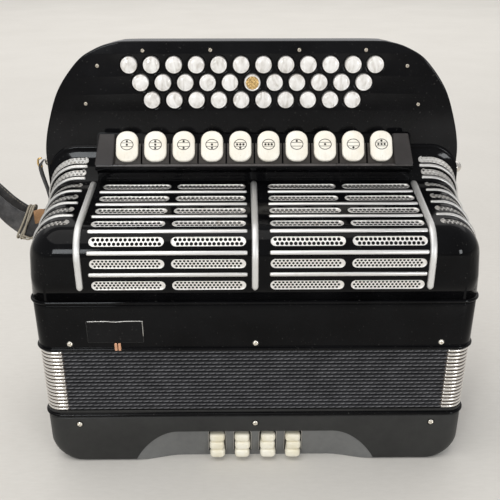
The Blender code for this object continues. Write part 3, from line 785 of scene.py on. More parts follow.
# ------------------------------------------------ mesh strips behind the slots
def holes(w, h, r, rows, pitch):
    """Staggered holes of a perforated strip."""
    out = []
    n = int((w - 2.4) / pitch)
    levels = (-0.225, 0.225) if rows == 2 else (-0.29, 0.0, 0.29)
    for row, v in enumerate(levels):
        for k in range(n + 1):
            u = (k - n / 2) * pitch + (pitch / 4 if row % 2 else -pitch / 4)
            end = (w - h) / 2 + math.sqrt(max(0.0, (h / 2 - 0.75) ** 2 - (v * h) ** 2))
            if abs(u) + r < end:
                out.append((u, v * h))
    return out


def strip(w, h, place, r_hole, rows=2, pitch=3.4):
    """Perforated strip and its raised rim; place(u, v, height) lays them down."""
    outline = stadium(w - 0.2, h - 0.2, 8)
    bm = fill_curve([outline] + [circle(u, v, r_hole, 8) for u, v in holes(w, h, r_hole, rows, pitch)], 0.3)
    for v in bm.verts:
        u, vv, off = v.co
        v.co = place(u, vv, off - 0.65)
    ring_path = stadium(w - 0.55, h - 0.55, 8)
    rings = []
    n = len(ring_path)
    for k in range(n):
        a, b = Vector(ring_path[k - 1]), Vector(ring_path[(k + 1) % n])
        d = (b - a).normalized()
        nrm = Vector((d.y, -d.x))
        p = Vector(ring_path[k])
        rings.append([place(*(p + nrm * o), hgt) for o, hgt in ((0.24, -1.1), (0.27, 0.10), (0.12, 0.24), (-0.2, 0.20),
                                                                 (-0.45, -0.05), (-0.45, -1.1))])
    rim = bmesh.new()
    loft(rim, rings, closed=True)
    bmesh.ops.recalc_face_normals(rim, faces=rim.faces)
    bmesh.ops.recalc_face_normals(bm, faces=bm.faces)
    back = bmesh.new()
    flat = stadium(w + 1.4, h + 1.4, 6)
    loft(back, [[place(u, v, -3.2) for u, v in flat], [place(u, v, -3.8) for u, v in flat]])
    bmesh.ops.recalc_face_normals(back, faces=back.faces)
    for f in back.faces:
        f.material_index = 1
    return [bm, rim, back]


for row, arc in enumerate(ROW_ARCS):
    parts = []
    for xc, w in MAIN_SLOTS:
        parts += strip(w, SLOT_H, lambda u, v, o, xc=xc, arc=arc: on_front(xc + u, arc + v, o),
                       1.05 if row < 2 else 1.5, 3 if row < 2 else 2, 3.1 if row < 2 else 3.6)
    add("grille_mesh_row_%d" % (row + 1), merge(parts), [SILVER, PIT], smooth=35)
# the shoulder strips take the darker silver copy, painted shade
for row, ((y, h), s0) in enumerate(zip(SIDE_ROWS, SIDE_IN)):
    for side, tag in ((-1, "left"), (1, "right")):
        mid, w = (s0 + SIDE_OUT) / 2, SIDE_OUT - s0
        parts = strip(w, 2 * h, lambda u, v, o, mid=mid, y=y, side=side: on_shoulder(side, mid + u, y, v, o),
                      1.45 if h > 3.5 else 1.25 if h > 3.2 else 1.05, 2, 3.6)
        add("shoulder_mesh_%s_%d" % (tag, row + 1), merge(parts), [SHADED_SIDE_SILVER, PIT], smooth=35)

# ----------------------------------------------------- trim lines and the bars
LINE = ((-1.7, -0.5), (-1.72, 0.35), (-1.45, 0.85), (-0.85, 1.18), (0, 1.3), (0.85, 1.18), (1.45, 0.85),
        (1.72, 0.35), (1.7, -0.5))


def sweep(stations, scale):
    """Loft of a half-round section; stations give place(b, n), scale its ends."""
    bm = bmesh.new()
    loft(bm, [[place(b * k[0], n if n < 0 else n * k[1]) for b, n in LINE] for place, k in zip(stations, scale)])
    return bm


def line_scale(count):
    ks = [(1.0, 1.0)] * count
    for i, k in enumerate(((0.72, 0.55), (0.92, 0.85))):
        ks[i] = ks[-1 - i] = k
    return ks


for i in range(6):
    arc = TRIM_ARCS[i]
    parts = []
    for x0, x1 in ((-133.6, -6.6), (11.4, 137.4)):
        xs = [x0, x0 + 0.5, x0 + 1.2, x1 - 1.2, x1 - 0.5, x1]
        parts.append(sweep([lambda b, n, x=x, arc=arc: on_front(x, arc + b, n) for x in xs], line_scale(len(xs))))
    add("grille_trim_%d" % (i + 1), merge(parts), ALU, smooth=50)
# the shoulder trims take the darker aluminium copy, painted shade
for i, y in enumerate(SIDE_LINES):
    for side, tag in ((-1, "left"), (1, "right")):
        s0 = SIDE_IN[i] - 1.2
        ss = [s0, s0 + 0.5, s0 + 1.2] + [s0 + 1.2 + (SIDE_OUT - s0 + 3) * k / 26 for k in range(1, 26)]
        ss += [SIDE_OUT + 3.2, SIDE_OUT + 3.9, SIDE_OUT + 4.4]
        bm = sweep([lambda b, n, s=s, y=y, side=side: on_shoulder(side, s, y, b * 0.92, n * 0.95) for s in ss],
                   line_scale(len(ss)))
        add("shoulder_trim_%s_%d" % (tag, i + 1), bm, SHADED_SIDE_ALU, smooth=50)

BAR_SECTION = ((-2.7, -0.4), (-2.75, 0.9), (-2.45, 1.75), (-1.65, 2.3), (-0.65, 2.45), (0.65, 2.45), (1.65, 2.3),
               (2.45, 1.75), (2.75, 0.9), (2.7, -0.4))
for xc, tag in ((-141.4, "left"), (-0.4, "middle"), (140.9, "right")):
    a0, a1 = 174.6, 301.6
    arcs = [a0 + 3.05 * (1 - math.cos(math.radians(q))) for q in (12, 30, 50, 70, 90)]
    arcs += [a0 + 3.05 + (a1 - a0 - 6.1) * k / 40 for k in range(1, 40)]
    arcs += [a1 - 3.05 * (1 - math.cos(math.radians(q))) for q in (90, 70, 50, 30, 12)]
    rings = []
    for arc in arcs:
        e = min(arc - a0, a1 - arc)
        k = math.sqrt(max(0.0, 1 - (1 - e / 3.05) ** 2)) if e < 3.05 else 1.0
        h = 0.55 + 0.45 * k
        rings.append([on_front(xc + b * k, arc, n if n < 0 else n * h) for b, n in BAR_SECTION])
    bm = bmesh.new()
    loft(bm, rings)
    add("grille_bar_" + tag, bm, BAR, smooth=50)


# ================================================================ treble case
def band(z0, z1, beads, half=HALF_W, r=CORNER_R, edge=0.6):
    """Outline rings of a case wall with rolled beads at given heights."""
    zs = []
    for zc, rad in beads:
        for q in range(-90, 91, 18):
            a = math.radians(q)
            zs.append((zc + rad * math.sin(a), rad * math.cos(a)))
    pts = [(z0, -edge), (z0 + edge, 0.0), (z1 - edge, 0.0), (z1, -edge)] + zs
    pts = [p for p in pts if z0 <= p[0] <= z1]
    pts.sort(key=lambda p: p[0])
    clean = [pts[0]]
    for p in pts[1:]:
        if p[0] - clean[-1][0] > 0.02:
            clean.append(p)
    return clean


def grooved(profile, grooves, width=0.45, depth=0.7):
    """Cuts fine grooves, each with a sloping lower lip."""
    out = [p for p in profile if all(not g - 2.2 * width < p[0] < g + width for g in grooves)]
    for g in grooves:
        out += [(g - 2.2 * width, 0.0), (g - width * 1.9, -0.06), (g - width * 0.5, -depth),
                (g + width * 0.6, -depth), (g + width, 0.0)]
    return sorted(out)


def case_rings(profile, y0=0.0, y1=DEPTH, half=HALF_W, r=CORNER_R, seg=10):
    return [rounded_rect(half + o, y0 - o, y1 + o, r + o, z, seg) for z, o in profile]


LOW_EDGE = 116.9
prof = grooved(band(LOW_EDGE, TREBLE_Z1, ((118.6, 1.5), (163.0, 1.6))), (121.0, 160.7))
bm = bmesh.new()
loft(bm, case_rings(prof))
inner = bmesh.new()
loft(inner, [rounded_rect(HALF_W - 6, 6, DEPTH - 6, 8, TREBLE_Z0 - 5, 6),
             rounded_rect(HALF_W - 6, 6, DEPTH - 6, 8, TREBLE_Z1 - 5, 6)])
case = boolean(bm, inner, index=1)
add("treble_case_shell", case, [BLACK, WOOD], replaces=("treble_case",), smooth=30)

# ================================================================= bass case
prof = [(z, o) for z, o in grooved(band(24.0, BASS_H, ((51.0, 1.5),)), (48.4,)) if z >= 24.6]
bm = bmesh.new()
rings = []
for k in range(15):
    a = math.radians(90.0 * k / 14)
    z = BASS_EDGE_R * (1 - math.cos(a))
    inset = BASS_EDGE_R * (1 - math.sin(a))
    lip = 1.6 * max(0.0, 1 - z / 1.6)
    rings.append(rounded_rect(HALF_W - inset, lip, DEPTH - lip, CORNER_R, z, 10))
rings += case_rings(prof)
loft(bm, rings)
cut = bmesh.new()
loft(cut, [rounded_rect(HALF_W - 6, 16, DEPTH - 6, 8, 20.4, 6), rounded_rect(HALF_W - 6, 16, DEPTH - 6, 8, 60, 6)])
case = boolean(bm, cut, index=2)
cut = bmesh.new()
loft(cut, [[p - Vector((CASE_X, 0, 0)) for p in rounded_rect(148, 36, 165, 3, z, 4)] for z in (-5, 25)])
case = boolean(case, cut, index=2)


def scoop_top(x):
    """Height of the recess's upper edge: level, then an S down to the bottom."""
    t = min(1.0, max(0.0, (109.0 - abs(x)) / 40.0))
    return -3.0 + 35.2 * (1 - (1 - t) ** 1.9) ** 0.80


def scoop_depth(x, z):
    """Depth of the recess: it fades out towards both ends."""
    t = min(1.0, max(0.0, (109.0 - abs(x)) / 44.0))
    return 0.35 + (2.8 + 4.4 * (32 - z) / 32.0) * (t * t * (3 - 2 * t))


cut = bmesh.new()
rings = []
stations = [-108.9 + 217.8 * k / 100 for k in range(101)]
for x in stations:
    z1 = max(scoop_top(x), -2.4)
    ring = [Vector((x, -3.0, -4.0)), Vector((x, -3.0, z1))]
    ring += [Vector((x, scoop_depth(x, z1 + (-4.0 - z1) * q / 6), z1 + (-4.0 - z1) * q / 6)) for q in range(7)]
    rings.append(ring)
loft(cut, rings)
case = boolean(case, cut, index=1)
slots = []
for x in BASS_COL_X:
    bm = bmesh.new()
    for_ring = [(x + u, 18.55 + v) for u, v in ((7.6, -12.95), (7.6, 9), (6.6, 12.0), (3.6, 12.95), (-3.6, 12.95),
                                                 (-6.6, 12.0), (-7.6, 9), (-7.6, -12.95))]
    loft(bm, [[Vector((px, -2, pz)) for px, pz in for_ring], [Vector((px, 16.0, pz)) for px, pz in for_ring]])
    bmesh.ops.recalc_face_normals(bm, faces=bm.faces)
    slots.append(bm)
case = boolean(case, merge(slots), index=2)
for f in case.faces:
    if f.material_index == 0 and f.calc_center_median().z > 48.5:
        f.material_index = 3
# faces left by the inner, bottom and slot cutters take the near-black third material: painted shade inside the case
add("bass_case_shell", case, [SATIN, GREY, PIT, BLACK], BASS, replaces=("bass_case",), smooth=30)

# bright edge of each button slot
parts = []
for x in BASS_COL_X:
    outline = [(x + u, 18.55 + v) for u, v in ((7.75, -12.0), (7.75, 9), (6.75, 12.1), (3.7, 13.1), (-3.7, 13.1),
                                               (-6.75, 12.1), (-7.75, 9), (-7.75, -12.0))]
    n = len(outline)
    rings = []
    for k in range(n):
        a, b = Vector(outline[max(k - 1, 0)]), Vector(outline[min(k + 1, n - 1)])
        d = (b - a).normalized()
        nn = Vector((d.y, -d.x))
        p = Vector(outline[k])
        ring = []
        for o, h in ((-0.2, 0.4), (-0.2, -0.12), (0.35, -0.12), (0.35, 0.4)):
            q = p + nn * o
            ring.append(Vector((q.x, scoop_depth(q.x, q.y) + h, q.y)))
        rings.append(ring)
    bm = bmesh.new()
    loft(bm, rings)
    bmesh.ops.recalc_face_normals(bm, faces=bm.faces)
    parts.append(bm)
add("bass_slot_edges", merge(parts), SLOT_EDGE, BASS, smooth=None)


# ------------------------------------------------------------------ bass caps
def bass_cap(x, z, front, wide, seed):
    """One moulded cap: bowed front, rolled upper and lower edges."""
    bm = bmesh.new()
    rings = []
    h = BASS_CAP_H / 2 + 0.1
    for yy, sx, sz in ((0.0, 0.66, 0.56), (0.35, 0.80, 0.74), (0.9, 0.90, 0.88), (1.8, 0.97, 0.97), (3.2, 1.0, 1.0),
                       (6.0, 0.97, 0.98), (9.0, 0.93, 0.92), (17.0 - front, 0.93, 0.92)):
        ring = []
        for k in range(28):
            a = 2 * math.pi * (k + 0.5) / 28
            c, s = math.cos(a), math.sin(a)
            px = math.copysign(abs(c) ** 0.42, c) * wide / 2 * sx
            pz = math.copysign(abs(s) ** 0.60, s) * h * sz
            bow = 0.9 * (px / (wide / 2)) ** 2
            ring.append(Vector((x + px, front + yy + bow, z + pz - 0.35 * (px / wide * 2) ** 2)))
        rings.append(ring)
    loft(bm, rings)
    bmesh.ops.recalc_face_normals(bm, faces=bm.faces)
    return bm


for i, x in enumerate(BASS_COL_X):
    caps = []
    for k in range(3):
        dx = (0.35, -0.25, 0.15, -0.3)[(i + k) % 4]
        caps.append(bass_cap(x + dx, BASS_CAP_Z + BASS_TIER * k, -3.0 + 1.2 * k, (13.6, 13.3, 13.9)[(k + i) % 3], i))
    carrier = bmesh.new()
    bmesh.ops.create_cube(carrier, size=1.0)
    bmesh.ops.scale(carrier, vec=(11.0, 3.0, 22.5), verts=carrier.verts)
    bmesh.ops.translate(carrier, vec=(x, 15.2, 18.8), verts=carrier.verts)
    add("bass_caps_%d" % (i + 1), merge(caps + [carrier]), CREAM, "bass_button_column_%d" % (i + 1),
        replaces=("bass_button_column_%d" % (i + 1),), smooth=45)

# ===================================================================== bellows
BZ0, BZ1, FOLDS = 55.3, 116.2, 17
PITCH = (BZ1 - BZ0) / FOLDS
FOLD = ((-0.5, 9.0), (-0.455, 4.6), (-0.41, 2.3), (-0.34, 1.05), (-0.22, 0.35), (-0.08, 0.05), (0.08, 0.05),
        (0.22, 0.35), (0.34, 1.05), (0.41, 2.3), (0.455, 4.6))
SEG = 8


def bellows_ring(d, z, out=0.0):
    d = d + 1.0 - out
    return rounded_rect(HALF_W - d, d, DEPTH - d, max(3.5, CORNER_R - 0.6 * d), z, SEG)


path = bellows_ring(0.05, 0.0)
dist = [0.0]
for k in range(1, len(path) + 1):
    dist.append(dist[-1] + (path[k % len(path)] - path[k - 1]).length)
DASH = dist[-1] / round(dist[-1] / 5.8)

stations = []
for f in range(FOLDS):
    for t, d in FOLD:
        stations.append((f, t, d))
stations.append((FOLDS - 1, 0.5, 9.0))
rings = [bellows_ring(d, BZ0 + (f + 0.5 + t) * PITCH) for f, t, d in stations]
inner = [rounded_rect(HALF_W - 22, 22, DEPTH - 22, 4, z, SEG) for z in (BZ1, BZ0)]
marks = [f + 0.5 + t for f, t, d in stations] + [FOLDS - 0.01, 0.01]
bm = bmesh.new()
loft(bm, rings + inner, closed=True, uvs=lambda r, c: (dist[c] / DASH, marks[r]))
bellows = add("bellows_folds", bm, CLOTH, None, replaces=("bellows",), smooth=60)
bellows.data.uv_layers[0].name = "weave"
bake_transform(bellows)

# nickel protectors on the four corners, one clip to a fold
CLIP = ((-0.5, 2.5), (-0.44, 1.35), (-0.36, 0.42), (-0.24, -0.10), (-0.08, -0.32), (0.08, -0.32), (0.24, -0.10),
        (0.36, 0.42), (0.44, 1.35))
for side_x, side_y, tag in ((-1, -1, "front_left"), (1, -1, "front_right"), (-1, 1, "back_left"), (1, 1, "back_right")):
    def corner(d, z, flare=0.0):
        """Points from 20 mm along the front, round the corner, 18 mm along the side."""
        d = d + 1.0
        r = CORNER_R - 0.6 * d
        hx, y0 = HALF_W - d, d
        pts = [Vector((hx - 19.6, y0, z)), Vector((hx - 18.9, y0 - 0.25, z)), Vector((hx - r - 3, y0 - 0.25, z))]
        for k in range(9):
            a = math.radians(270 + 90.0 * k / 8)
            pts.append(Vector((hx - r + (r + 0.25) * math.cos(a), y0 + r + (r + 0.25) * math.sin(a), z)))
        pts += [Vector((hx + 0.25, y0 + 17.6, z)), Vector((hx, y0 + 18.3, z))]
        out = []
        for p in pts:
            y = p.y if side_y < 0 else DEPTH - p.y
            out.append(Vector((side_x * p.x, y, z)))
        return out
    st = [(f + 0.5 + t, d) for f in range(FOLDS) for t, d in CLIP] + [(FOLDS, 2.5)]
    top = [corner(d, BZ0 + m * PITCH) for m, d in st]
    bottom = [corner(d + 0.7, BZ0 + m * PITCH) for m, d in st]
    bm = bmesh.new()
    slab(bm, top, bottom, uvs=lambda r, c: (c * 0.1, st[r][0]))
    ob = add("bellows_corner_" + tag, bm, NICKEL, None, smooth=60)
    ob.data.uv_layers[0].name = "weave"
    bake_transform(ob)

# the wooden end frames of the bellows
for z0, z1, body, tag in ((BASS_H + 0.1, BZ0 + 0.1, BASS, "bass"), (BZ1 - 0.1, LOW_EDGE - 0.1, TREBLE, "treble")):
    bm = bmesh.new()
    e = 0.25
    loft(bm, [rounded_rect(HALF_W - 0.2 - o, 0.2 + o, DEPTH - 0.2 - o, CORNER_R - 0.2, z, 10)
              for z, o in ((z0, e), (z0 + e, 0.0), (z1 - e, 0.0), (z1, e))]
         + [rounded_rect(HALF_W - 12, 12, DEPTH - 12, 5, z, 10) for z in (z1, z0)], closed=True)
    add("bellows_frame_" + tag, bm, FRAME_GREY, body, smooth=40)

# ================================================================ fingerboard
EDGE = ((183.4, 166.0), (183.6, 205.0), (184.0, 242.0), (183.3, 264.0), (177.5, 288.0),
        (166.8, 314.5), (148.9, 337.5), (133.6, 347.6), (117.0, 353.0), (96.0, 354.4), (0.0, 354.4))


def smooth_edge(inset=0.0, floor=None, per=10):
    pts = []
    key = [Vector(p) for p in EDGE]
    for i in range(len(key) - 1):
        p0, p1, p2 = key[max(i - 1, 0)], key[i], key[i + 1]
        p3 = key[min(i + 2, len(key) - 1)]
        straight = i < 1 or i >= len(key) - 2
        count = 1 if straight else per
        for k in range(count):
            t = k / count
            if straight:
                pts.append(p1.lerp(p2, t))
            else:
                pts.append(0.5 * ((2 * p1) + (p2 - p0) * t + (2 * p0 - 5 * p1 + 4 * p2 - p3) * t * t
                                  + (3 * p1 - p0 - 3 * p2 + p3) * t ** 3))
    if inset:
        moved = []
        for i, p in enumerate(pts):
            a = pts[max(i - 1, 0)]
            b = pts[min(i + 1, len(pts) - 1)]
            d = (b - a).normalized()
            moved.append(p + Vector((-d.y, d.x)) * inset)
        pts = moved
    if floor is not None:
        pts[0] = Vector((pts[0].x, floor))
    return pts


def board_outline(inset=0.0, floor=BOARD_Z0, per=10):
    right = smooth_edge(inset, floor, per)
    return [(p.x, p.y) for p in right] + [(-p.x, p.y) for p in reversed(right)]


button_places = [((i - (n - 1) / 2) * BUTTON_PITCH * k, z) for z, n, k in ROWS for i in range(n)]
BEV = 1.3
bm = fill_curve([board_outline(BEV, BOARD_Z0 + BEV)] + [circle(x, z, BUTTON_HOLE_R + 0.0 + BEV, 36)
                                                        for x, z in button_places], BOARD_T, BEV, 4)
turn = Matrix.Translation((0, BOARD_Y + BOARD_T / 2, 0)) @ Matrix.Rotation(math.radians(90), 4, "X")
bmesh.ops.transform(bm, matrix=turn, verts=bm.verts)
add("fingerboard_plate", bm, BOARD_BLACK, replaces=("fingerboard",), smooth=30, dx=0)

bm = bmesh.new()
levels = [(BOARD_Y + BOARD_T + GAP, 2.5), (BOARD_Y + BOARD_T + GAP + 0.01, 2.5)]
for k in range(10):
    a = math.radians(90.0 * k / 9)
    levels.append((BODY_BACK_Y - 8 + 8 * math.sin(a), 2.5 + 8 * (1 - math.cos(a))))
loft(bm, [[Vector((px, y, pz)) for px, pz in board_outline(inset, COVER_Z0)] for y, inset in levels[1:]])
add("keyboard_body", bm, BLACK, replaces=("keyboard_housing",), smooth=35, dx=0)

# -------------------------------------------------------------------- buttons
CAP_R = BUTTON_R - 0.2
CAP = [(13.8, 6.4), (13.8, CAP_R), (-2.3, CAP_R)]
for q in range(1, 7):
    a = math.radians(90.0 * q / 6)
    CAP.append((-2.3 - 1.0 * math.sin(a), CAP_R - 0.9 * (1 - math.cos(a))))
# a fine step inside the rim, then a softly domed face
CAP += [(-3.26, 5.85), (-3.20, 5.70), (-3.36, 5.5), (-3.62, 4.6), (-3.84, 3.4), (-3.98, 2.0), (-4.03, 0.4)]
for i, (x, z) in enumerate(button_places):
    name = "treble_button_%02d" % (i + 1)
    if i == 17:
        # the marker button: a raised rim round a cross-knurled face
        rim = lathe([(13.8, 6.4), (13.8, CAP_R), (-2.7, CAP_R), (-3.3, CAP_R - 0.2), (-3.6, CAP_R - 0.7),
                     (-3.45, CAP_R - 1.2), (-2.9, CAP_R - 1.35), (-2.9, 0.4)], 40, (x, BOARD_Y, z))
        bmesh.ops.recalc_face_normals(rim, faces=rim.faces)
        face = bmesh.new()
        top, bot = [], []
        n = 34
        for r in range(n + 1):
            rt, rb = [], []
            for c in range(n + 1):
                u, v = (c / n * 2 - 1), (r / n * 2 - 1)
                uu, vv = u * math.sqrt(1 - v * v / 2), v * math.sqrt(1 - u * u / 2)
                px, pz = uu * 5.4, vv * 5.4
                k = abs(math.sin((px + pz) * 0.95)) * abs(math.sin((px - pz) * 0.95))
                rt.append(Vector((x + px, BOARD_Y - 3.15 - 0.75 * k, z + pz)))
                rb.append(Vector((x + px, BOARD_Y - 2.8, z + pz)))
            top.append(rt)
            bot.append(rb)
        slab(face, top, bot, index=1)
        bmesh.ops.recalc_face_normals(face, faces=face.faces)
        add("cap_%02d" % (i + 1), merge([rim, face]), [PEARL, BRASS], name, replaces=(name,), smooth=30, dx=0)
        continue
    bm = lathe(CAP, 40, (x, BOARD_Y, z))
    add("cap_%02d" % (i + 1), bm, PEARL, name, replaces=(name,), smooth=40, dx=0)

# ================================================================== registers
lean = Vector((0.0, math.cos(TAB_TILT), math.sin(TAB_TILT)))
out = Vector((0.0, -math.sin(TAB_TILT), math.cos(TAB_TILT)))
foot = Vector((0.0, TAB_LOW[0], TAB_LOW[1]))


def prism_x(outline, x0, x1, bevel=0.0):
    """Solid along X with slightly eased ends."""
    bm = bmesh.new()
    cy = sum(p[0] for p in outline) / len(outline)
    cz = sum(p[1] for p in outline) / len(outline)

    def ring(x, k):
        return [Vector((x, cy + (y - cy) * k, cz + (z - cz) * k)) for y, z in outline]
    if bevel:
        loft(bm, [ring(x0, 0.985), ring(x0 + bevel, 1.0), ring(x1 - bevel, 1.0), ring(x1, 0.985)])
    else:
        loft(bm, [ring(x0, 1.0), ring(x1, 1.0)])
    return bm


base = foot - out * (TAB_T + 3.6)
top = base + lean * (TAB_L - 2.0)
lip_y = foot.y + 0.6
housing = [(WALL_Y + 0.2, 222), (BOARD_Y - GAP, 222), (BOARD_Y - GAP, top.z), (top.y, top.z), (base.y, base.z),
           (lip_y + 2.2, 254.6), (lip_y + 0.9, 254.45), (lip_y + 0.25, 254.0), (lip_y, 253.2), (lip_y, 250.4),
           (lip_y + 0.5, 249.4), (lip_y + 1.6, 248.7), (WALL_Y - 2.0, 247.0), (WALL_Y + 0.2, 244.5)]
bm = prism_x(housing, -HOUSING_HALF, HOUSING_HALF, 0.5)
add("register_housing_body", bm, BLACK, replaces=("register_housing",), smooth=30)
# metal edge along the lip; its lighter patches are painted reflections of the tabs
bm = prism_x([(lip_y + 1.0, 254.7), (lip_y + 0.2, 254.35), (lip_y - 0.15, 253.6), (lip_y - 0.15, 252.9),
              (lip_y + 0.5, 252.9), (lip_y + 1.0, 253.6)], -HOUSING_HALF + 0.8, HOUSING_HALF - 0.8)
add("register_lip", bm, LIP, smooth=30)

for side, tag in ((-1, "left"), (1, "right")):
    a, b = foot + lean * -2.0, foot + lean * (TAB_L - 4.0)
    rings = []
    for t, grow in ((0.0, -0.5), (0.04, 0.0), (0.5, 0.0), (0.96, 0.0), (1.0, -0.6)):
        p = a.lerp(b, t)
        xo = HOUSING_HALF - 3.4 * t + grow * 0.6
        xi = 121.6 - 1.2 * t - grow * 0.6
        dp = 9 - t
        g = -grow * 0.8
        ring = [(xo, -dp), (xo, -g - 0.8), (xo - 0.8, -g), (xi + 0.8, -g), (xi, -g - 0.8), (xi, -dp)]
        rings.append([Vector((side * px, p.y, p.z)) + Vector((0, out.y, out.z)) * o for px, o in ring])
    bm = bmesh.new()
    loft(bm, rings)
    add("register_end_block_" + tag, bm, DARK_GREY, smooth=30)

tab_outline = []
for k in range(17):
    a = math.radians(180.0 * k / 16)
    c, s = math.cos(a), math.sin(a)
    tab_outline.append((TAB_W / 2 * math.copysign(abs(c) ** 0.92, c), 19.4 + 9.0 * abs(s) ** 0.95))
for a0, sx in ((180, -1), (270, 1)):
    for k in range(9):
        a = math.radians(a0 + 90.0 * k / 8)
        tab_outline.append((sx * (TAB_W / 2 - 8.0) + 8.0 * math.cos(a), 9.0 + 7.8 * math.sin(a)))


def on_tab(x, u, v, h=0.0):
    return foot + Vector((x + u, 0, 0)) + lean * v + out * h


MARKS = ("tm", "tmb", "tb", "mb", "3b", "3", "t", "m", "b", "t3")
for i in range(10):
    body = "register_tab_%02d" % (i + 1)
    xc = (i - 4.5) * TAB_PITCH + 0.2
    rings = []
    for depth, shrink in ((0.0, 1.35), (0.12, 0.95), (0.4, 0.45), (0.85, 0.12), (1.4, 0.0), (TAB_T - 0.7, 0.0), (TAB_T, 0.5)):
        ring = []
        for u, v in tab_outline:
            d = Vector((u, v - TAB_L / 2))
            k = 1 - shrink / d.length
            ring.append(on_tab(xc, d.x * k, d.y * k + TAB_L / 2, -depth))
        rings.append(ring)
    bm = bmesh.new()
    loft(bm, rings)
    add("register_key_%02d" % (i + 1), bm, IVORY, body, replaces=(body,), smooth=45)
    # engraved symbol: circle, two rules, dots
    parts = []
    cv = 15.9

    def flat(points_out, points_in=None, x=xc):
        outlines = [points_out] + ([points_in] if points_in else [])
        bm = fill_curve(outlines, 0.16)
        for v in bm.verts:
            u, vv, h = v.co
            v.co = on_tab(x, u, cv + vv, h - 0.04)
        bmesh.ops.recalc_face_normals(bm, faces=bm.faces)
        return bm
    ell = lambda rx, rz: [(rx * math.cos(2 * math.pi * k / 40), rz * math.sin(2 * math.pi * k / 40)) for k in range(40)]
    parts.append(flat(ell(5.65, 4.85), ell(5.05, 4.25)))
    for v in (-1.65, 1.65):
        half = 5.1 * math.sqrt(1 - (v / 4.3) ** 2)
        parts.append(flat([(-half, v - 0.22), (half, v - 0.22), (half, v + 0.22), (-half, v + 0.22)]))
    spots = []
    for ch in MARKS[i]:
        spots += {"t": [(0, 3.0)], "m": [(0, 0)], "b": [(0, -3.0)], "3": [(-2.7, 0), (0, 0), (2.7, 0)]}[ch]
    for u, v in spots:
        parts.append(flat(circle(u, v, 1.0, 14)))
    add("register_mark_%02d" % (i + 1), merge(parts), INK, body, smooth=None)
    # the grey rocker under the tab
    rings = []
    for v, half, h in ((-0.6, 11.0, -TAB_T - 0.75), (-0.6, 11.3, -TAB_T - 0.2), (17.5, 11.3, -TAB_T - 0.2),
                       (17.5, 11.0, -TAB_T - 0.75)):
        rings.append((v, half, h))
    bm = bmesh.new()
    ring = [(-0.6, -0.9), (-0.6, -0.25), (-0.1, -0.05), (17.6, -0.05), (18.2, -0.25), (18.2, -0.9)]
    loft(bm, [[on_tab(xc, x, v, h - TAB_T) for v, h in ring] for x in (-11.5, -11.3, 11.3, 11.5)])
    add("register_rocker_%02d" % (i + 1), bm, ROCKER, body, smooth=30)


# ===================================================================== screws
def screw(place, r, h, cross=True):
    """Domed cross-head screw; place(u, v, height) lays it down."""
    bm = bmesh.new()
    seg = 32
    rings = []
    for k in range(8):
        a = math.radians(90.0 * k / 7)
        rings.append((r * math.cos(a) if k else r, h * math.sin(a)))
    pts = [(r * 0.98, -0.6)] + rings[:-1]
    rows = []
    for rad, hh in pts + [(r * 0.10, h)]:
        ring = []
        for k in range(seg):
            a = 2 * math.pi * k / seg
            u, v = rad * math.cos(a), rad * math.sin(a)
            dip = 0.0
            if cross and rad < r * 0.66:
                if abs(u) < r * 0.15 or abs(v) < r * 0.15:
                    dip = 0.55 * h * min(1.0, (r * 0.66 - rad) / (r * 0.12))
            ring.append(place(u, v, hh - dip))
        rows.append(ring)
    loft(bm, rows)
    bmesh.ops.recalc_face_normals(bm, faces=bm.faces)
    return bm


# flat ring; round the case screws it carries painted shade of the recess they sit in
def shade_ring(place, r0, r1, h):
    bm = bmesh.new()
    rings = []
    for k in range(28):
        a = 2 * math.pi * k / 28
        c, s = math.cos(a), math.sin(a)
        rings.append([place(r * c, r * s, hh) for r, hh in ((r0, -0.3), (r0, h * 0.4), (r1 - 0.3, h), (r1, h * 0.2),
                                                           (r1, -0.3))])
    loft(bm, rings, closed=True)
    bmesh.ops.recalc_face_normals(bm, faces=bm.faces)
    return bm


def tilt(u, v, deg):
    a = math.radians(deg)
    return u * math.cos(a) - v * math.sin(a), u * math.sin(a) + v * math.cos(a)


def front_place(x, y, z, deg):
    def place(u, v, h):
        u, v = tilt(u, v, deg)
        return Vector((x + u, y - h, z + v))
    return place


for z, body, tag in ((124.0, TREBLE, "treble"), (41.2, BASS, "bass")):
    for k, x in enumerate((-155.0, 0.1, 156.0)):
        p = front_place(x, 0.0, z, 20 + 37 * k)
        add("%s_case_screw_%d" % (tag, k + 1), screw(p, 2.5, 1.3), SCREW, body, smooth=50)
        # near-black ring round the screw: painted shade of its recess
        add("%s_case_screw_seat_%d" % (tag, k + 1), shade_ring(p, 2.2, 3.3, 0.16), PIT, body, smooth=50)
for k, (x, z) in enumerate(((-92.4, 346.6), (95.9, 346.8), (-35.4, 347.0), (39.6, 346.9), (-131.5, 334.1),
                            (132.0, 333.6), (-144.2, 301.9), (144.4, 300.7))):
    p = front_place(x, BOARD_Y, z, 15 + 41 * k)
    add("board_screw_%d" % (k + 1), screw(p, 1.65, 0.7), DULL_SCREW, TREBLE, smooth=50, dx=0)

# ------------------------------- what is left of the bellows strap on the case
PATCH = (-140.0, -92.9, 125.2, 146.2)


def plate(x0, x1, z0, z1, y, t, r, bevel=0.3):
    w, h = (x1 - x0) / 2, (z1 - z0) / 2
    pts = []
    for cx, cz, a0 in ((w - r, h - r, 0), (-w + r, h - r, 90), (-w + r, -h + r, 180), (w - r, -h + r, 270)):
        for k in range(5):
            a = math.radians(a0 + 22.5 * k)
            pts.append((cx + r * math.cos(a), cz + r * math.sin(a)))
    cx, cz = (x0 + x1) / 2, (z0 + z1) / 2
    bm = bmesh.new()
    loft(bm, [[Vector((cx + px * s(px, w), y0, cz + pz * s(pz, h))) for px, pz in pts]
              for y0, s in ((y + 0.4, lambda p, e: 1.0), (y - t + bevel, lambda p, e: 1.0),
                            (y - t, lambda p, e: 1 - bevel / e))])
    bmesh.ops.recalc_face_normals(bm, faces=bm.faces)
    return bm


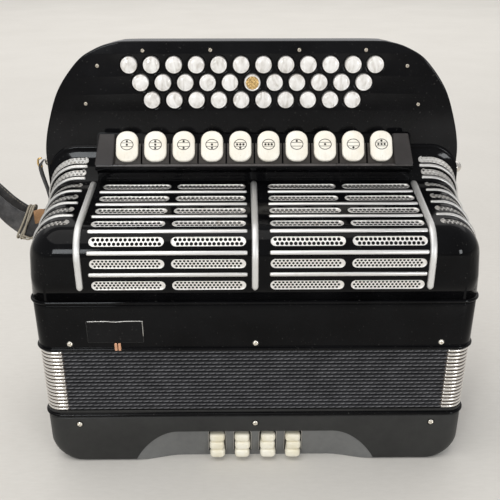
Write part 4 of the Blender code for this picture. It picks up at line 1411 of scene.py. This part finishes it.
x0, x1, z0, z1 = PATCH
add("strap_patch_edge", plate(x0, x1, z0, z1, 0.0, 0.5, 1.2), FRAME_GREY, TREBLE, smooth=30)
add("strap_patch", plate(x0 + 0.7, x1 - 0.7, z0 + 0.7, z1 - 0.7, 0.0, 1.0, 1.0), BOARD_BLACK, TREBLE, smooth=30)
parts = []
for xc in (-116.5, -113.5):
    parts.append(plate(xc - 1.2, xc + 1.2, 118.2, 125.4, 0.0, 1.9, 0.7))
add("strap_clip", merge(parts), COPPER, TREBLE, smooth=30)


# ==================================================================== straps
def catmull(points, per):
    key = [Vector(p) for p in points]
    pts = []
    for i in range(len(key) - 1):
        p0, p1, p2 = key[max(i - 1, 0)], key[i], key[i + 1]
        p3 = key[min(i + 2, len(key) - 1)]
        for k in range(per):
            t = k / per
            pts.append(0.5 * ((2 * p1) + (p2 - p0) * t + (2 * p0 - 5 * p1 + 4 * p2 - p3) * t * t
                              + (3 * p1 - p0 - 3 * p2 + p3) * t ** 3))
    pts.append(key[-1])
    return pts


ROUTE = ((-185.2, 98.6, 196), (-196, 98, 193), (-208, 97, 192), (-220, 97, 200), (-231, 98, 211),
         (-238, 100, 221), (-241.5, 104, 227), (-240, 108.6, 226), (-232, 111, 216), (-220, 112.4, 202),
         (-208, 113, 192), (-196, 113, 185), (-185.2, 113, 180))


def ribbon(route, half, thick, across=9, crown=0.5, per=5, wave=0.0, widths=None):
    """Flat strap on edge along a route: rounded edges and a crowned face."""
    line = catmull(route, per)
    top, bottom = [], []
    for i, p in enumerate(line):
        a, b = line[max(i - 1, 0)], line[min(i + 1, len(line) - 1)]
        d = (b - a).normalized()
        n = Vector((d.y, -d.x, 0.0))
        n = n.normalized() if n.length > 1e-4 else Vector((0, -1, 0))
        up = Vector((0, 0, 1))
        rt, rb = [], []
        hw = half * (widths(i / (len(line) - 1)) if widths else 1.0)
        for k in range(across):
            s = -1 + 2 * k / (across - 1)
            e = 1 - abs(s) ** 6
            ripple = wave * math.sin(i * 0.9 + s * 2.0)
            mid = p + up * (s * hw)
            t = thick / 2 * (0.35 + 0.65 * e) + crown * (1 - s * s) * 0.5
            rt.append(mid + n * (t + ripple))
            rb.append(mid - n * (t - ripple))
        top.append(rt)
        bottom.append(rb)
    bm = bmesh.new()
    slab(bm, top, bottom)
    return bm, line


bm, strap_line = ribbon(ROUTE, 12.6, 1.9, 11, 0.3, 6, 0.12)
add("shoulder_strap_band", bm, LEATHER, TREBLE, replaces=("shoulder_strap",), smooth=50, dx=0)

# stitches along both edges of the strap
parts = []
for i in range(2, len(strap_line) - 3, 1):
    p, q = strap_line[i], strap_line[i + 1]
    d = (q - p)
    n = Vector((d.y, -d.x, 0)).normalized()
    for s in (-1, 1):
        a = p + Vector((0, 0, s * 10.6)) + n * 1.2
        b = p.lerp(q, 0.62) + Vector((0, 0, s * 10.6)) + n * 1.2
        sb = bmesh.new()
        ax = (b - a).normalized()
        w = ax.cross(n).normalized()
        rings = []
        for pt, k in ((a, 0.5), (a.lerp(b, 0.3), 1.0), (a.lerp(b, 0.7), 1.0), (b, 0.5)):
            rings.append([pt + w * (0.28 * k * math.cos(g)) + n * (0.22 * k * math.sin(g))
                          for g in [2 * math.pi * m / 6 for m in range(6)]])
        loft(sb, rings)
        bmesh.ops.recalc_face_normals(sb, faces=sb.faces)
        parts.append(sb)
add("shoulder_strap_stitches", merge(parts), THREAD, TREBLE, smooth=None, dx=0)



def cord(points, r, seg=8, per=6, closed=False):
    """Round lace along a smooth path, its ends drawn in."""
    if closed:
        pts = catmull([points[-1]] + list(points) + [points[0], points[1]], per)
        line = pts[per:per * (len(points) + 1)]
    else:
        line = catmull(points, per)
    rings = []
    n = len(line)
    for i, p in enumerate(line):
        a = line[i - 1] if i or closed else line[0]
        b = line[(i + 1) % n] if i < n - 1 or closed else line[-1]
        d = (b - a).normalized()
        u = d.cross(Vector((0.2, 1, 0.1))).normalized()
        v = d.cross(u).normalized()
        k = 1.0 if closed or 0 < i < n - 1 else 0.45
        rings.append([p + (u * math.cos(g) + v * math.sin(g)) * (r * k * (1 + 0.08 * math.sin(3 * i)))
                      for g in [2 * math.pi * m / seg for m in range(seg)]])
    bm = bmesh.new()
    loft(bm, rings, closed=closed)
    bmesh.ops.recalc_face_normals(bm, faces=bm.faces)
    return bm


# frayed lace wound round both layers of the strap, and the tongue that it ties on
parts = []
for k, (x, lean_x, grow) in enumerate(((-216.6, 11.5, 0.0), (-213.6, 13.0, 0.5), (-211.4, 8.5, 0.2))):
    zc = 193.0 - 0.4 * k
    top_z, low_z = zc + 13.8 + grow, zc - 13.6 - grow
    parts.append(cord([(x, 95.4, low_z + 3), (x + lean_x * 0.5, 94.6 - 0.5 * k, zc), (x + lean_x, 95.2, top_z - 2),
                       (x + lean_x + 0.8, 98.0, top_z + 0.8), (x + lean_x, 108.0, top_z + 0.3),
                       (x + lean_x * 0.9, 115.0, top_z - 5), (x + lean_x * 0.4, 115.3, zc - 4),
                       (x - 0.5, 114.6, low_z - 2), (x - 1.0, 106.0, low_z - 1.5), (x - 0.8, 98.0, low_z - 0.6)],
                      0.95, closed=True))
parts.append(cord([(-212, 94.2, 183), (-206, 93.6, 180.5), (-200, 93.8, 179.4), (-193, 94.4, 181.5), (-188, 95, 184)],
                  0.85))
parts.append(cord([(-213, 94.4, 181), (-207, 93.8, 178.6), (-200, 93.6, 182.2), (-194, 94.0, 179.6)], 0.7))
add("shoulder_strap_lace", merge(parts), THREAD, TREBLE, smooth=60, dx=0)
bm, _ = ribbon(((-185.6, 95.6, 200), (-192, 94.6, 202), (-198.5, 94.0, 200.4)), 6.4, 2.0, 9, 0.5, 6, 0.15)
add("shoulder_strap_tongue", bm, TAN, TREBLE, smooth=50, dx=0)

# bracket studs at both edges of the keyboard body
def stud(side, y, z, r=5.6, length=8.0):
    base_x = 181.4
    prof = [(base_x, r * 0.7), (base_x + 0.8, r * 0.98), (base_x + length * 0.35, r), (base_x + length * 0.6, r * 0.97),
            (base_x + length * 0.8, r * 0.82), (base_x + length * 0.94, r * 0.5), (base_x + length - 0.05, r * 0.15)]
    bm = lathe(prof, 32, (0, y, z), "X")
    if side < 0:
        for v in bm.verts:
            v.co.x = -v.co.x
    return bm


add("strap_stud_right", stud(1, 120, 239, 5.6, 12.8), STUD, TREBLE, replaces=("strap_bracket_right",), smooth=45, dx=0)
add("strap_stud_left", stud(-1, 112, 248, 4.2, 6.4), STUD, TREBLE, smooth=45, dx=0)
# the loose end of the old left strap, hanging from its stud
parts = []
line = catmull(((-188.0, 108.5, 250), (-190.8, 107.5, 246), (-190.4, 107.2, 239), (-188.8, 107.4, 231), (-187.2, 108.0, 223),
                (-186.0, 108.6, 214)), 5)
top, bottom = [], []
for i, p in enumerate(line):
    hw = 3.2 - 1.2 * i / len(line)
    top.append([p + Vector((-1.2, 0.0, 0.0)) + Vector((0.0, s * hw, 0.0)) for s in (-1, -0.5, 0, 0.5, 1)])
    bottom.append([p + Vector((0.9, 0.0, 0.0)) + Vector((0.0, s * hw, 0.0)) for s in (-1, -0.5, 0, 0.5, 1)])
bm = bmesh.new()
slab(bm, top, bottom)
add("strap_end_left", bm, LEATHER, TREBLE, smooth=50, dx=0)
add("strap_buckle_left", cord([(-188.4, 105.5, 253.0), (-191.6, 105.6, 252.0), (-192.4, 105.8, 247.5), (-191.2, 106.0, 245.0),
                               (-188.6, 105.9, 245.8)], 0.95), BRASS, TREBLE, smooth=50, dx=0)

x0, x1, z0, z1 = PATCH
# bright metal line along the patch's top and right edges: a painted highlight
add("strap_patch_painted_highlight", cord([(x0 + 1.0, -0.6, z1 - 0.5), (x0 + 16, -0.7, z1 - 0.2), (x0 + 24, -0.6, z1 - 0.9), (x1 - 14, -0.7, z1 - 0.2),
                              (x1 - 1.2, -0.7, z1 - 0.3), (x1 - 0.5, -0.6, z1 - 2.0), (x1 - 0.3, -0.6, z0 + 6.5)], 0.42),
    SLOT_EDGE, TREBLE, smooth=50)

# ------------------------------------------------------- bass end, seen below
path = [(-140, 66, 11.9), (-122, 66, 11.5), (-104, 66, 5.0), (-60, 66, 3.4), (0, 66, 3.0), (60, 66, 3.4), (104, 66, 5.0),
        (122, 66, 11.5), (140, 66, 11.9)]
line = catmull([(p[0], 0, p[2]) for p in path], 6)
top, bottom = [], []
for p in line:
    rt, rb = [], []
    for k in range(13):
        s = -1 + 2 * k / 12
        e = 1 - abs(s) ** 6
        t = 1.5 * (0.4 + 0.6 * e)
        rt.append(Vector((p.x, 101 + s * 30.5, p.z + t)))
        rb.append(Vector((p.x, 101 + s * 30.5, p.z - t)))
    top.append(rt)
    bottom.append(rb)
bm = bmesh.new()
slab(bm, top, bottom)
add("hand_strap_leather", bm, LEATHER, BASS, replaces=("hand_strap",), smooth=50, dx=0)
prof = [(26.5, 6.0), (26.5, 7.8), (7.0, 7.8), (5.9, 7.5), (5.3, 6.8), (5.1, 5.0), (5.05, 0.5)]
add("air_button_cap", lathe(prof, 32, (128, 58, 0), "Z"), IVORY, "air_button", replaces=("air_button",), smooth=40, dx=0)

for name, mat in (("bass_end_cover", DARK_GREY), ("treble_reed_block", WOOD)):
    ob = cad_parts[name]
    ob.data.materials.clear()
    ob.data.materials.append(mat)

# ==================================================================== stage
bm = bmesh.new()
bmesh.ops.create_grid(bm, x_segments=24, y_segments=24, size=16.0)
me = bpy.data.meshes.new("floor")
bm.to_mesh(me)
bm.free()
floor = bpy.data.objects.new("floor", me)
floor.location = (OX, OY + 0.1, -0.0002)
me.materials.append(FLOOR)
scene.collection.objects.link(floor)


def area_light(name, loc, target, size, energy, color=(1, 1, 1), size_y=None):
    data = bpy.data.lights.new(name, "AREA")
    data.energy, data.color = energy, color
    data.size = size
    if size_y:
        data.shape = "RECTANGLE"
        data.size_y = size_y
    ob = bpy.data.objects.new(name, data)
    scene.collection.objects.link(ob)
    ob.location = W(loc)
    d = W(target) - W(loc)
    ob.rotation_euler = d.to_track_quat("-Z", "Y").to_euler()
    return ob


area_light("key", (-620, -420, 2400), (0, -60, 100), 2.2, 31.0, (1.0, 0.98, 0.95))
area_light("window_left", (-593, -1377, 610), (-158, 2, 208), 0.28, 6.5, (0.93, 0.97, 1.0), 0.40)
area_light("window_right", (959, -1256, 404), (165, 1, 207), 0.24, 5.5, (0.96, 0.98, 1.0), 0.34)
area_light("ceiling_back", (0, 3500, 2000), (0, 3400, 0), 6.0, 84.0, (1.0, 0.985, 0.96), 4.4)

world = bpy.data.worlds.new("soft_room")
scene.world = world
world.use_nodes = True
bg = world.node_tree.nodes["Background"]
bg.inputs["Color"].default_value = (0.985, 0.985, 1.0, 1)
bg.inputs["Strength"].default_value = 0.52

cam_data = bpy.data.cameras.new("camera")
cam_data.sensor_width = 36.0
cam_data.lens = 50.4
cam_data.clip_start, cam_data.clip_end = 0.01, 50.0
cam = bpy.data.objects.new("camera", cam_data)
scene.collection.objects.link(cam)
cam.location = W((-8.44, -501.27, 437.61))
cam.rotation_euler = (math.radians(90 - 24.455), 0.0, math.radians(-0.613))
scene.camera = cam
scene.view_settings.view_transform = "Standard"

for m in SLOTS:
    bpy.data.materials.remove(m)

bpy.context.view_layer.update()
